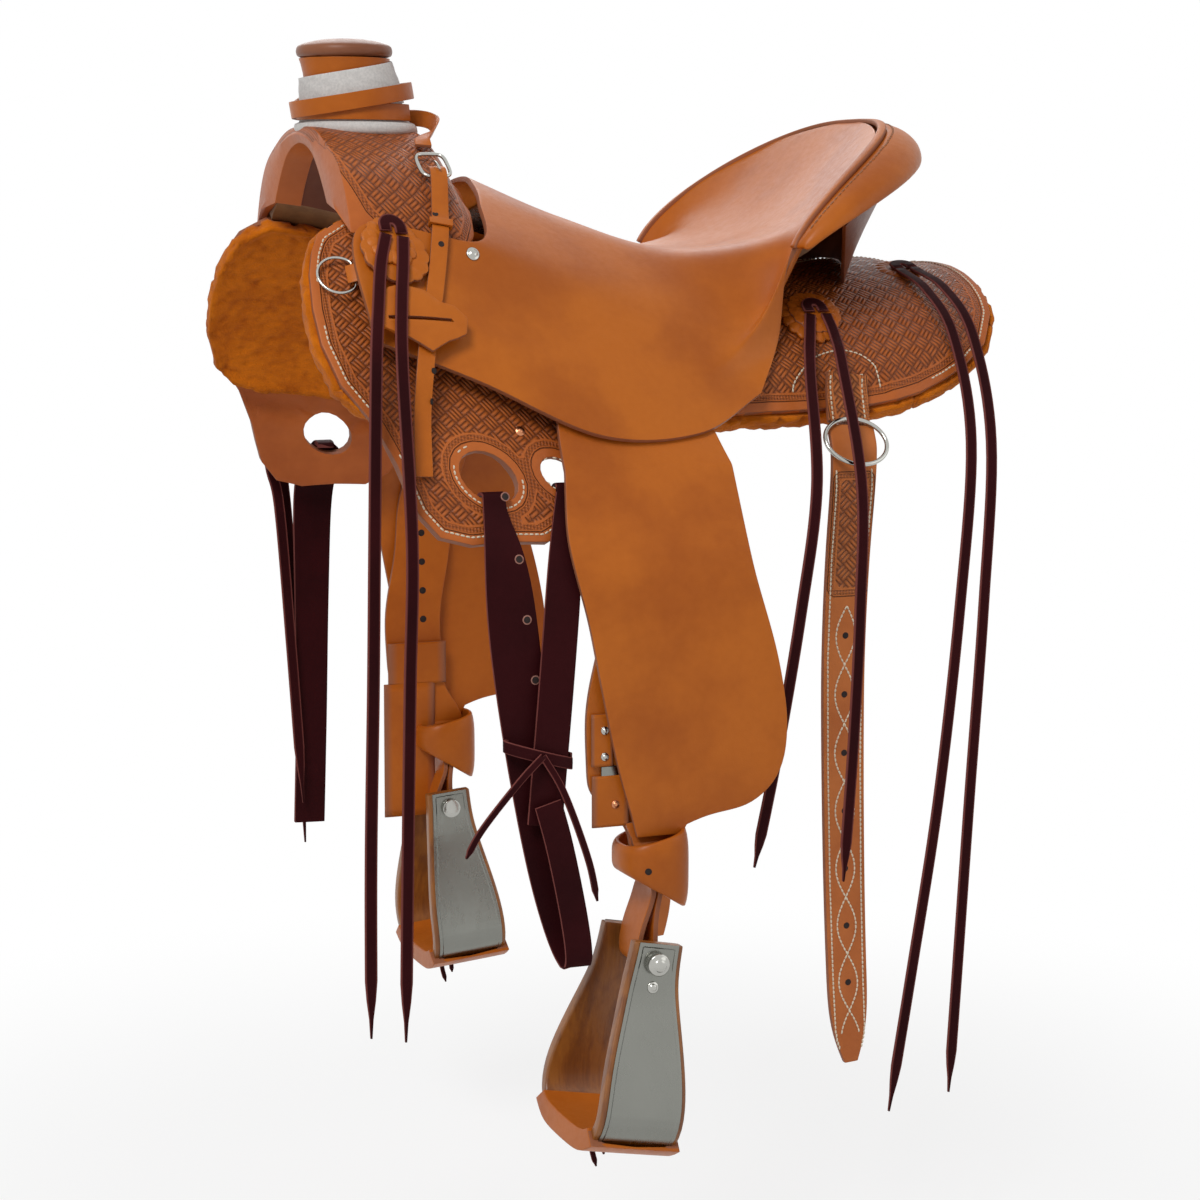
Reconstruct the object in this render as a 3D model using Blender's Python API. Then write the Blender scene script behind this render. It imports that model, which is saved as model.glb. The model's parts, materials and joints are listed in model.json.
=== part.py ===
"""Wade saddle: a western ranch saddle with its tree, leather, rigging and stirrups.

Front of the saddle is -X, the rider's left (near side) is -Y, up is +Z.
The origin is the middle of the rack or horse's back that carries it.
All leather that lies on the horse's side is cut flat as a pattern in (x, t),
t being the distance down from the spine, and then laid on the drape surface.
"""
import bpy
import bmesh
from math import pi, sin, cos, radians, atan2, ceil, floor
from mathutils import Vector, Matrix
from mathutils.geometry import delaunay_2d_cdt

# Driving dimensions in metres, angles in degrees
GAP = 0.0003                 # clearance between touching pieces
LAY_GAP = 0.0007             # clearance between sheets laid on each other
BAR_GAP = 0.0017             # the bars' clearance over the fleece, which curves under them

# Drape surface: a ridge arc that runs into a flatter flank arc
DRAPE_FRONT_X = -0.340
DRAPE_BACK_X = 0.120
DRAPE_REAR_X = 0.360
WITHERS_Z = 0.185
BACK_Z = 0.062
LOIN_RISE = 0.012
RIDGE_R_FRONT = 0.130
RIDGE_R_BACK = 0.200
RIDGE_ANGLE = 48.0
FLANK_R = 0.750

# Leather and lining thicknesses
FLEECE = 0.0115
SKIRT = 0.0055
LINER = 0.0050
SEAT_LEATHER = 0.0050
COVER_LEATHER = 0.0040
STRAP_LEATHER = 0.0050
BAR_THICK = 0.0090
GROUND_SEAT = 0.0035
CANTLE_WOOD = 0.0150

# Tree, fork and horn
FORK_FRONT_X = -0.286
FORK_BACK_X = -0.142
FORK_SHOULDER_X = -0.192     # where the fork starts to slope down to the seat
FORK_TOP_Z = 0.2115
FORK_TOP_DROP = 0.004        # slow fall of the crest along the fork
FORK_SLOPE_DROP = 0.049      # fall from the shoulder to the back edge
FORK_CREST_THICK = 0.008
LIP_ROLL = 0.0060
HORN_X = -0.2370
HORN_LEAN = 0.0110           # how far the cap stands ahead of the neck's foot
HORN_NECK_R = 0.0410
HORN_NECK_TOP = 0.2760
HORN_CAP_R = 0.0440
HORN_CAP_THICK = 0.0110
HORN_CAP_CROWN = 0.0070
WRAP_TURNS = 4
WRAP_THICK = 0.0080
WRAP_GAP = 0.0006
HORN_STRAP_WIDTH = 0.0150
HORN_STRAP_THICK = 0.0030

# Cantle rim
RIM_X = 0.113
RIM_RUN = 0.149
RIM_HALF = 0.180
RIM_Z = 0.100
RIM_RISE = 0.125
ROLL_WIDTH = 0.046
ROLL_THICK = 0.017

# Straps and hardware
BILLET_WIDTH = 0.0445
BILLET_THICK = 0.0060
DEE_WIRE = 0.0045
FLANK_DEE_R = 0.0300
FRONT_DEE_R = 0.0180
LATIGO_WIDTH = 0.0445
LATIGO_THICK = 0.0035
STRING_WIDTH = 0.0110
STRING_THICK = 0.0026
HOLE_R = 0.0255              # rigging hole

# Stirrups
HINGE_T = 0.318              # where the leathers leave the jockey
HINGE_GAP = 0.0008           # open line that the leathers bend in
BOLT_X = -0.0743
BOLT_Y = 0.280
BOLT_Z = -0.498
STIRRUP_INNER = 0.125        # tread between the branches
STIRRUP_WALL = 0.0110
TREAD_DEPTH = 0.078
NECK_DEPTH = 0.046
BOLT_R = 0.0048
BINDING = 0.0010
OFF_SIDE_RISE = 0.018        # the off leathers are buckled one hole shorter

NEAR = -1
OFF = 1
SIDES = ((NEAR, "left"), (OFF, "right"))

# Layer heights above the drape surface
H_SKIRT = FLEECE + LAY_GAP
H_SKIRT_TOP = H_SKIRT + SKIRT
H_BAR = FLEECE + BAR_GAP
H_BAR_TOP = H_BAR + BAR_THICK
H_OVER = H_BAR_TOP + LAY_GAP  # the skirt's underside where it lies over a bar
H_HANGER = H_OVER + SKIRT + LAY_GAP
H_HANGER_TOP = H_HANGER + STRAP_LEATHER
H_JOCKEY = 0.0405            # outer face of the seat's side jockeys

MATERIALS = {
    "smooth_leather": ((0.52, 0.19, 0.055), 0.42, 0.0),
    "tooled_leather": ((0.34, 0.11, 0.040), 0.50, 0.0),
    "dark_leather": ((0.14, 0.055, 0.025), 0.45, 0.0),
    "latigo_leather": ((0.045, 0.012, 0.014), 0.50, 0.0),
    "mulehide": ((0.62, 0.63, 0.66), 0.85, 0.0),
    "fleece": ((0.58, 0.20, 0.010), 0.95, 0.0),
    "rawhide_wood": ((0.55, 0.42, 0.22), 0.60, 0.0),
    "stirrup_wood": ((0.32, 0.13, 0.030), 0.45, 0.0),
    "plated_metal": ((0.62, 0.61, 0.55), 0.28, 1.0),
    "copper": ((0.60, 0.27, 0.14), 0.35, 1.0),
}


def smooth(a):
    return 0.5 - 0.5 * cos(pi * min(max(a, 0.0), 1.0))


def ridge(x):
    """Height and radius of the ridge arc at x."""
    s = smooth((x - DRAPE_FRONT_X) / (DRAPE_BACK_X - DRAPE_FRONT_X))
    z = WITHERS_Z + (BACK_Z - WITHERS_Z) * s
    r = RIDGE_R_FRONT + (RIDGE_R_BACK - RIDGE_R_FRONT) * s
    if x > DRAPE_BACK_X:
        z += LOIN_RISE * ((x - DRAPE_BACK_X) / (DRAPE_REAR_X - DRAPE_BACK_X)) ** 2
    return z, r


def lay(x, t, h, side=OFF):
    """Point at x, t down from the spine and h above the drape surface."""
    top, r = ridge(x)
    edge = radians(RIDGE_ANGLE)
    if t <= r * edge:
        y = (r + h) * sin(t / r)
        z = top - r + (r + h) * cos(t / r)
    else:
        a = edge + (t - r * edge) / FLANK_R
        y = (r - FLANK_R) * sin(edge) + (FLANK_R + h) * sin(a)
        z = top - r + (r - FLANK_R) * cos(edge) + (FLANK_R + h) * cos(a)
    return Vector((x, y * side, z))


def collection(name):
    made = bpy.data.collections.new(name)
    bpy.context.scene.collection.children.link(made)
    return made


def material(name):
    if name in bpy.data.materials:
        return bpy.data.materials[name]
    colour, rough, metal = MATERIALS[name]
    made = bpy.data.materials.new(name)
    made.use_nodes = True
    shader = made.node_tree.nodes["Principled BSDF"]
    shader.inputs["Base Color"].default_value = (*colour, 1.0)
    shader.inputs["Roughness"].default_value = rough
    shader.inputs["Metallic"].default_value = metal
    return made


def finish(name, bm, look, origin=None):
    """Turn a bmesh into a named part whose faces point out."""
    bmesh.ops.remove_doubles(bm, verts=bm.verts, dist=0.00001)
    bmesh.ops.recalc_face_normals(bm, faces=bm.faces)
    mesh = bpy.data.meshes.new(name)
    if origin is not None:
        bmesh.ops.translate(bm, verts=bm.verts, vec=-Vector(origin))
    bm.to_mesh(mesh)
    bm.free()
    mesh.shade_smooth()
    mesh.set_sharp_from_angle(angle=radians(35))
    part = bpy.data.objects.new(name, mesh)
    if origin is not None:
        part.location = origin
    part.data.materials.append(material(look))
    PARTS.objects.link(part)
    return part


def cap(bm, row):
    """Close a row of vertices with triangles, also where its outline is hollow."""
    middle = sum((v.co for v in row), Vector()) / len(row)
    normal = sum(((a.co - middle).cross(b.co - middle) for a, b in zip(row, row[1:] + row[:1])),
                 Vector()).normalized()
    u = normal.orthogonal().normalized()
    w = normal.cross(u)
    flat = [Vector((v.co.dot(u), v.co.dot(w))) for v in row]
    edges = [(i, (i + 1) % len(row)) for i in range(len(row))]
    for tri in delaunay_2d_cdt(flat, edges, [], 1, 1e-9)[2]:
        bm.faces.new([row[i] for i in tri])


def strip(bm, a, b):
    """Fill between two rows of vertices that start and end together, by share of length."""
    def shares(row):
        out = [0.0]
        for p, q in zip(row, row[1:]):
            out.append(out[-1] + (q.co - p.co).length)
        return [s / out[-1] for s in out]
    sa, sb = shares(a), shares(b)
    i = j = 0
    while i < len(a) - 1 or j < len(b) - 1:
        if j == len(b) - 1 or (i < len(a) - 1 and sa[i + 1] <= sb[j + 1]):
            face = (a[i], a[i + 1], b[j])
            i += 1
        else:
            face = (a[i], b[j + 1], b[j])
            j += 1
        if len(set(face)) == 3:
            bm.faces.new(face)


def loft(name, loops, look, origin=None, ring=False):
    """Skin closed sections in order; ring joins the last to the first."""
    bm = bmesh.new()
    rows = [[bm.verts.new(p) for p in loop] for loop in loops]
    n = len(loops[0])
    pairs = list(zip(rows, rows[1:]))
    if ring:
        pairs.append((rows[-1], rows[0]))
    for a, b in pairs:
        for i in range(n):
            j = (i + 1) % n
            bm.faces.new((a[i], a[j], b[j], b[i]))
    if not ring:
        cap(bm, rows[0])
        cap(bm, rows[-1])
    return finish(name, bm, look, origin)


def spline(points, count):
    """Points spaced evenly in parameter on a smooth curve through the given ones."""
    pts = [Vector(p) for p in points]
    ends = [2 * pts[0] - pts[1]] + pts + [2 * pts[-1] - pts[-2]]
    out = []
    for i in range(count):
        s = i / (count - 1) * (len(pts) - 1)
        k = min(int(s), len(pts) - 2)
        f = s - k
        a, b, c, d = ends[k:k + 4]
        out.append(0.5 * (2 * b + (c - a) * f + (2 * a - 5 * b + 4 * c - d) * f * f
                          + (3 * b - a - 3 * c + d) * f ** 3))
    return out


def outline_points(points, step):
    """Close a smooth outline through the points; a sharp corner is given twice."""
    pts = [Vector((p[0], p[1])) for p in points]
    n = len(pts)
    out = []
    for i in range(n):
        a, b, c, d = (pts[(i + k) % n] for k in (-1, 0, 1, 2))
        if (c - b).length < 1e-6:
            continue
        if (b - a).length < 1e-6:
            a = 2 * b - c
        if (d - c).length < 1e-6:
            d = 2 * c - b
        count = max(1, round((c - b).length / step))
        for k in range(count):
            f = k / count
            out.append(0.5 * (2 * b + (c - a) * f + (2 * a - 5 * b + 4 * c - d) * f * f
                              + (3 * b - a - 3 * c + d) * f ** 3))
    return out


def circle_points(cx, cy, rx, ry, count):
    return [Vector((cx + rx * cos(2 * pi * i / count), cy + ry * sin(2 * pi * i / count)))
            for i in range(count)]


def inside(p, loop):
    hit = False
    for a, b in zip(loop, loop[1:] + loop[:1]):
        if (a.y > p.y) != (b.y > p.y):
            if p.x < a.x + (p.y - a.y) * (b.x - a.x) / (b.y - a.y):
                hit = not hit
    return hit


def edge_distance(p, loop):
    best = 1.0
    for a, b in zip(loop, loop[1:] + loop[:1]):
        ab = b - a
        f = min(max((p - a).dot(ab) / max(ab.length_squared, 1e-12), 0.0), 1.0)
        best = min(best, (p - a - f * ab).length)
    return best


PITCH = (0.034, 0.021)        # lattice that all laid sheets share


def cut_sheet(name, outline, holes, place, look, pitch=PITCH, origin=None):
    """Leather cut flat with its holes, then placed by place(x, t, layer)."""
    loops = [outline] + holes
    flat = []
    edges = []
    for loop in loops:
        start = len(flat)
        flat += loop
        edges += [(start + i, start + (i + 1) % len(loop)) for i in range(len(loop))]
    xs = [p.x / pitch[0] for p in outline]
    ts = [p.y / pitch[1] for p in outline]
    margin = 0.30 * min(pitch)
    for i in range(ceil(min(xs)), floor(max(xs)) + 1):
        for j in range(ceil(min(ts)), floor(max(ts)) + 1):
            p = Vector((i * pitch[0], j * pitch[1]))
            if not inside(p, outline) or any(inside(p, h) for h in holes):
                continue
            if min(edge_distance(p, loop) for loop in loops) > margin:
                flat.append(p)
    verts, _, faces, *_ = delaunay_2d_cdt(flat, edges, [], 0, 1e-6)
    bm = bmesh.new()
    layers = [[bm.verts.new(place(v.x, v.y, k)) for v in verts] for k in (0, 1)]
    sides = {}
    for tri in faces:
        c = sum((verts[i] for i in tri), Vector((0.0, 0.0))) / 3
        if not inside(c, outline) or any(inside(c, h) for h in holes):
            continue
        bm.faces.new([layers[1][i] for i in tri])
        bm.faces.new([layers[0][i] for i in reversed(tri)])
        for a, b in zip(tri, tri[1:] + tri[:1]):
            key = (min(a, b), max(a, b))
            sides[key] = sides.get(key, 0) + 1
    for (a, b), uses in sides.items():
        if uses == 1:
            bm.faces.new((layers[0][a], layers[0][b], layers[1][b], layers[1][a]))
    bmesh.ops.delete(bm, geom=[v for v in bm.verts if not v.link_faces], context="VERTS")
    return finish(name, bm, look, origin)


def laid_sheet(name, outline, holes, h0, h1, side, look, pitch=PITCH):
    return cut_sheet(name, outline, holes,
                     lambda x, t, k: lay(x, t, h1 if k else h0, side), look, pitch)


def split_quad(bm, corners):
    """Two triangles; the diagonal starts at the corner that lies highest and most forward."""
    k = max(range(4), key=lambda i: corners[i].co.z - 0.37 * corners[i].co.x)
    a, b, c, d = corners[k:] + corners[:k]
    bm.faces.new((a, b, c))
    bm.faces.new((a, c, d))


def skin(name, top_points, low_points, look):
    """Closed skin between two grids of points with the same rows and columns."""
    nu, nv = len(top_points), len(top_points[0])
    bm = bmesh.new()
    top = [[bm.verts.new(p) for p in row] for row in top_points]
    low = [[bm.verts.new(p) for p in row] for row in low_points]
    for i in range(nu - 1):
        for j in range(nv - 1):
            split_quad(bm, [top[i][j], top[i + 1][j], top[i + 1][j + 1], top[i][j + 1]])
            split_quad(bm, [low[i][j], low[i][j + 1], low[i + 1][j + 1], low[i + 1][j]])
    edge = [(i, 0) for i in range(nu)] + [(nu - 1, j) for j in range(1, nv)]
    edge += [(i, nv - 1) for i in range(nu - 2, -1, -1)] + [(0, j) for j in range(nv - 2, 0, -1)]
    for (a, b), (c, d) in zip(edge, edge[1:] + edge[:1]):
        bm.faces.new((top[a][b], low[a][b], low[c][d], top[c][d]))
    return finish(name, bm, look)


def shell(name, grid, normals, depth0, depth1, look):
    """Closed skin between two depths under a grid of points with their normals."""
    layers = [[[p - n * depth for p, n in zip(row, across)] for row, across in zip(grid, normals)]
              for depth in (depth0, depth1)]
    return skin(name, layers[0], layers[1], look)


def ribbon(name, loops, look, origin=None, turned_back=None):
    """Skin sections of four corners; both wide faces of a step share one diagonal."""
    bm = bmesh.new()
    rows = [[bm.verts.new(p) for p in loop] for loop in loops]
    for i, (a, b) in enumerate(zip(rows, rows[1:])):
        bm.faces.new((a[1], a[2], b[2], b[1]))
        bm.faces.new((a[3], a[0], b[0], b[3]))
        if turned_back is not None and i >= turned_back:
            diagonals = ((a[0], a[1], b[0]), (a[1], b[1], b[0]),
                         (a[2], a[3], b[3]), (a[2], b[3], b[2]))
        else:
            diagonals = ((a[0], a[1], b[1]), (a[0], b[1], b[0]),
                         (a[2], a[3], b[2]), (a[3], b[3], b[2]))
        for face in diagonals:
            bm.faces.new(face)
    bm.faces.new(rows[0])
    bm.faces.new(rows[-1])
    return finish(name, bm, look, origin)


def strap(name, path, across, width, thick, look, origin=None):
    """Flat strap: path points, the direction across its width at each, and its size."""
    n = len(path)
    loops = []
    for i in range(n):
        along = (path[min(i + 1, n - 1)] - path[max(i - 1, 0)]).normalized()
        w = Vector(across[i] if isinstance(across, list) else across)
        w = (w - along * w.dot(along)).normalized()
        up = along.cross(w)
        size = width[i] if isinstance(width, list) else width
        a, b = w * size / 2, up * thick / 2
        loops.append([path[i] + a + b, path[i] - a + b, path[i] - a - b, path[i] + a - b])
    return ribbon(name, loops, look, origin)


def tube(name, path, radius, look, sides=10, ring=False, origin=None):
    """Round wire along a path; ring closes it on itself."""
    n = len(path)
    loops = []
    normal = None
    for i in range(n):
        if ring:
            along = (path[(i + 1) % n] - path[i - 1]).normalized()
        else:
            along = (path[min(i + 1, n - 1)] - path[max(i - 1, 0)]).normalized()
        if normal is None:
            normal = along.orthogonal().normalized()
        normal = (normal - along * normal.dot(along)).normalized()
        other = along.cross(normal)
        loops.append([path[i] + radius * (cos(2 * pi * k / sides) * normal
                                          + sin(2 * pi * k / sides) * other)
                      for k in range(sides)])
    return loft(name, loops, look, origin, ring)


def mirrored(points, side):
    return [Vector((p[0], p[1] * side, p[2])) for p in points]


WOOD_IN = 0.0026             # the fork's wood starts this far above the gullet profile
GULLET_SHAPE = [(0.0, 0.0), (0.42, 0.135), (0.69, 0.46), (0.88, 0.766), (1.0, 1.0)]


FOOT_SHORT = 0.026           # the fork's feet reach this much less far out at the back
FOOT_AHEAD = 0.032           # and end this much further forward than its middle


def past_shoulder(x):
    return max(0.0, (x - FORK_SHOULDER_X) / (FORK_BACK_X - FORK_SHOULDER_X))


def foot_x(x):
    """Where the fork's foot stands for the section at x: its back edge runs forward outwards."""
    return x - FOOT_AHEAD * past_shoulder(x)


def fork_profile(x):
    """Half profiles of the fork at x: gullet side from the top, outer side from the top."""
    s = (x - FORK_FRONT_X) / (FORK_SHOULDER_X - FORK_FRONT_X)
    back = smooth((x - FORK_SHOULDER_X) / (FORK_BACK_X - FORK_SHOULDER_X))
    crest = FORK_TOP_Z - FORK_TOP_DROP * s - FORK_SLOPE_DROP * back
    roof = crest - FORK_CREST_THICK - 0.003 * s
    toe_x = foot_x(x)
    foot = lay(toe_x, 0.116, H_BAR)
    half = foot.y - 0.022
    fall = roof - foot.z - 0.006
    gullet = [(half * fy, roof - fall * fz) for fy, fz in GULLET_SHAPE]
    outer = [(0.0, crest), (0.042, crest - 0.002 - 0.004 * back),
             (0.080 - 0.004 * back, crest - 0.014 - 0.004 * min(s, 1.0) - 0.002 * back)]
    for t, h, t_in, h_in in ((0.100, 0.0475, 0.0, 0.0225), (0.132, 0.0425, 0.014, 0.0150),
                             (0.160, 0.0345, FOOT_SHORT, 0.0030)):
        p = lay(toe_x, t - t_in * past_shoulder(x), h - h_in * past_shoulder(x))
        outer.append((p.y, p.z))
    reach = outer[-1][0]

    def placed(points):
        return [Vector((x + (toe_x - x) * min(y / reach, 1.0), y, z)) for y, z in points]
    return spline(placed(gullet), 8), spline(placed(outer), 8)


def offset_profile(points, distance):
    """Shift a half profile sideways in its own plane, away from the saddle's inside."""
    out = []
    for i, p in enumerate(points):
        a = points[max(i - 1, 0)] if i else Vector((p.x, -points[1].y, points[1].z))
        b = points[min(i + 1, len(points) - 1)]
        along = (b - a).normalized()
        out.append(p + distance * Vector((0.0, -along.z, along.y)))
    return out


def whole(half):
    """Both halves of a profile in one run, right bottom over the top to left bottom."""
    return half[::-1] + [Vector((p.x, -p.y, p.z)) for p in half[1:]]


def rim(v):
    """Cantle rim at v, 0 in the middle to 1 at the ear, on the right side."""
    a = radians(88.0) * v
    return Vector((RIM_X + RIM_RUN * cos(a) ** 1.5, RIM_HALF * sin(a) ** 0.7,
                   RIM_Z + RIM_RISE * cos(a)))


EAR_V = 0.60                 # where the cantle rim ends, across the seat's half


def seat_rails():
    """Five points front to back on each line that runs the length of the seat."""
    return [
        (0.00, [(-0.136, 0, 0.1715), (-0.052, 0, 0.136), (0.045, 0, 0.106), (0.150, 0, 0.122),
                rim(0.0)]),
        (0.22, [(-0.140, 0.038, 0.1660), (-0.052, 0.046, 0.132), (0.045, 0.062, 0.106),
                (0.147, 0.080, 0.126), rim(0.22 / EAR_V)]),
        (0.42, [(-0.151, 0.091, 0.1485), (-0.060, 0.097, 0.119), (0.030, 0.112, 0.098),
                (0.125, 0.140, 0.112), rim(0.42 / EAR_V)]),
        (0.60, [lay(-0.178, 0.150, 0.0495), lay(-0.085, 0.150, 0.0440),
                lay(0.010, 0.148, 0.0440), lay(0.085, 0.150, 0.0520), rim(1.0)]),
        (0.80, [lay(-0.286, 0.162, 0.0475), lay(-0.185, 0.228, 0.0405),
                lay(-0.085, 0.235, H_JOCKEY), lay(0.012, 0.220, H_JOCKEY),
                lay(0.103, 0.165, 0.0425)]),
        (1.00, [lay(-0.288, 0.262, 0.0365), lay(-0.200, 0.284, 0.0385),
                lay(-0.098, 0.303, H_JOCKEY), lay(-0.002, 0.274, H_JOCKEY),
                lay(0.070, 0.222, 0.0385)]),
    ]


def seat_point(u, v):
    """Point on the top of the seat leather, u front to back, v edge to edge."""
    side = OFF if v >= 0 else NEAR
    rails = seat_rails()
    knots = [-rails[1][0]] + [r[0] for r in rails] + [2 * rails[-1][0] - rails[-2][0]]
    across = [None] * len(rails)
    k = min(int(u * 4), 3)
    f = u * 4 - k
    for i, (_, pts) in enumerate(rails):
        pts = [Vector(p) for p in pts]
        ends = [2 * pts[0] - pts[1]] + pts + [2 * pts[-1] - pts[-2]]
        a, b, c, d = ends[k:k + 4]
        across[i] = 0.5 * (2 * b + (c - a) * f + (2 * a - 5 * b + 4 * c - d) * f * f
                           + (3 * b - a - 3 * c + d) * f ** 3)
    mirror = Vector((across[1].x, -across[1].y, across[1].z))
    line = [mirror] + across + [2 * across[-1] - across[-2]]
    w = abs(v)
    k = 0
    while k < len(rails) - 2 and w > rails[k + 1][0]:
        k += 1
    a, b, c, d = line[k:k + 4]
    ta, tb, tc, td = knots[k:k + 4]
    f = (w - tb) / (tc - tb)
    gap = tc - tb
    mb = ((c - b) / gap + (b - a) / (tb - ta)) * 0.5 * gap
    mc = ((d - c) / (td - tc) + (c - b) / gap) * 0.5 * gap
    p = ((2 * f ** 3 - 3 * f * f + 1) * b + (f ** 3 - 2 * f * f + f) * mb
         + (3 * f * f - 2 * f ** 3) * c + (f ** 3 - f * f) * mc)
    return Vector((p.x, p.y * side, p.z))


SEAT_ROWS = 20               # lattice steps of the seat, front to back
SEAT_COLUMNS = 14            # and from the middle to one edge


def seat_lattice():
    """All lattice points of the seat with their normals, the normals evened out."""
    grid, normals = [], []
    for i in range(SEAT_ROWS + 1):
        line, across = [], []
        for j in range(-SEAT_COLUMNS, SEAT_COLUMNS + 1):
            u, v = i / SEAT_ROWS, j / SEAT_COLUMNS
            du = seat_point(min(u + 0.02, 1.0), v) - seat_point(max(u - 0.02, 0.0), v)
            dv = seat_point(u, min(v + 0.03, 1.0)) - seat_point(u, max(v - 0.03, -1.0))
            line.append(seat_point(u, v))
            across.append(du.cross(dv).normalized())
        grid.append(line)
        normals.append(across)
    rows, columns = len(grid), len(grid[0])
    for _ in range(8):
        normals = [[(2 * normals[i][j] + normals[max(i - 1, 0)][j]
                     + normals[min(i + 1, rows - 1)][j] + normals[i][max(j - 1, 0)]
                     + normals[i][min(j + 1, columns - 1)]).normalized()
                    for j in range(columns)] for i in range(rows)]
    return grid, normals


def seat_shell(name, rows, columns, depth0, depth1, look):
    """Skin under the seat's surface over whole lattice rows and columns."""
    grid, normals = seat_lattice()
    first, last = SEAT_COLUMNS - columns, SEAT_COLUMNS + columns + 1
    shell(name, [grid[i][first:last] for i in rows], [normals[i][first:last] for i in rows],
          depth0, depth1, look)


BAR_FRONT_X = -0.270
BAR_REAR_X = 0.248


def bar_edges(x):
    """Inner and outer edge of a tree bar at x, as distances down from the spine."""
    t0 = 0.1325 - 0.077 * smooth((x + 0.115) / 0.13)
    t1 = 0.185 - 0.010 * smooth((x - 0.05) / 0.15)
    taper = 0.012 * (max(0.0, (x - 0.20) / 0.05) + max(0.0, (-0.25 - x) / 0.020))
    return t0 + taper, t1 - taper


def lattice(x0, x1, step):
    """The two ends and the shared lattice lines between them."""
    inner = [i * step for i in range(ceil(x0 / step), floor(x1 / step) + 1)]
    return [x0] + [x for x in inner if x0 + 0.2 * step < x < x1 - 0.2 * step] + [x1]


def skirt_height(x, t):
    """Underside of the skirt: over the bars, then down to the fleece past their edges."""
    down = smooth((t - bar_edges(x)[1] - 0.014) / 0.022)
    past = max(smooth((x - BAR_REAR_X - 0.026) / 0.040), smooth((BAR_FRONT_X - x - 0.004) / 0.026))
    return H_SKIRT + (H_OVER - H_SKIRT) * (1 - down) * (1 - past)


LIP_FLAP = 0.020             # how far the cover is tucked in under the lip


def fork_stations():
    front = [FORK_FRONT_X, FORK_FRONT_X + LIP_FLAP, FORK_FRONT_X + 0.052, FORK_SHOULDER_X]
    return front + [FORK_SHOULDER_X + (FORK_BACK_X - FORK_SHOULDER_X) * i / 3 for i in (1, 2, 3)]


def build_tree():
    bm = bmesh.new()
    under, over = [], []
    for x in fork_stations():
        gullet, outer = fork_profile(x)
        gullet = offset_profile(gullet, WOOD_IN)
        low = H_BAR + LAY_GAP
        toe_x = foot_x(x)
        foot = [lay(toe_x, 0.116, low), lay(toe_x, 0.131, low), lay(toe_x, 0.131, H_HANGER),
                lay(toe_x, 0.160 - FOOT_SHORT * past_shoulder(x), H_HANGER)]
        top = [bm.verts.new(p) for p in whole(outer)]
        under.append([top[0]] + [bm.verts.new(p) for p in whole(gullet + foot)] + [top[-1]])
        over.append(top)
    for rows in (under, over):
        for a, b in zip(rows, rows[1:]):
            for k in range(len(a) - 1):
                split_quad(bm, [a[k], a[k + 1], b[k + 1], b[k]])
    for k in (0, -1):
        strip(bm, under[k], over[k])
    finish("tree_fork", bm, "rawhide_wood")
    for side, word in SIDES:
        loops = []
        for x in lattice(BAR_FRONT_X, BAR_REAR_X, PITCH[0]):
            t0, t1 = bar_edges(x)
            ts = [t0 + (t1 - t0) * k / 6 for k in range(7)]
            loops.append([lay(x, t, H_BAR, side) for t in ts]
                         + [lay(x, t, H_BAR_TOP, side) for t in reversed(ts)])
        loft(f"tree_bar_{word}", loops, "rawhide_wood")
    seat_shell("ground_seat", range(2, 15), 6, SEAT_LEATHER + GAP,
               SEAT_LEATHER + GAP + GROUND_SEAT, "plated_metal")
    seat_shell("tree_cantle", range(15, 20), 6, SEAT_LEATHER + GAP,
               SEAT_LEATHER + GAP + CANTLE_WOOD, "rawhide_wood")


def build_fork_leather():
    x0 = FORK_FRONT_X
    flap = x0 + LIP_FLAP
    close = 0.0009
    thick = COVER_LEATHER + close

    def at(x, which, distance):
        return whole(offset_profile(fork_profile(x)[which], distance))

    def nose(f, reach, end):
        """Outer and inner row across the fork's front face, f from the top to the gullet."""
        rows = []
        for out, low, ahead in ((thick * 0.85, WOOD_IN - thick * 0.85, reach),
                                (close, WOOD_IN - close, GAP)):
            row = [p.lerp(q, f) - Vector((ahead, 0, 0)) for p, q in zip(at(x0, 1, out), at(x0, 0, low))]
            if end:
                point = lay(x0 - ahead, *end)
                row[0] = point
                row[-1] = Vector((point.x, -point.y, point.z))
            rows.append(row)
        return rows

    covered = [x for x in fork_stations()[::-1] if x > x0 + 0.001] + [x0 + 0.008]
    rows = [(at(x, 1, thick), at(x, 1, close)) for x in covered]
    lip = LIP_ROLL + 0.003
    rows += [nose(0.0, lip * 0.55, None), nose(0.5, lip, (0.129, 0.025)), nose(1.0, lip * 0.6, None)]
    rows += [(at(x, 0, WOOD_IN - thick), at(x, 0, WOOD_IN - close)) for x in (x0 + 0.006, flap - GAP)]
    outside = [list(column) for column in zip(*[row[0] for row in rows])]
    inside = [list(column) for column in zip(*[row[1] for row in rows])]
    skin("fork_cover", outside, inside, "tooled_leather")
    liner = [x for x in fork_stations() if x > x0 + 0.001]
    near = [at(x, 0, WOOD_IN - close) for x in liner]
    far = [at(x, 0, WOOD_IN - close - 0.0020) for x in liner]
    skin("gullet_liner", near, far, "dark_leather")


def horn_centre(z):
    """Middle of the horn at height z; the neck leans forward as it rises."""
    f = (z - FORK_TOP_Z) / (HORN_NECK_TOP - FORK_TOP_Z)
    return Vector((HORN_X - HORN_LEAN * f, 0, z))


def lean(bm):
    for v in bm.verts:
        v.co.x += horn_centre(v.co.z).x


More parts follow.
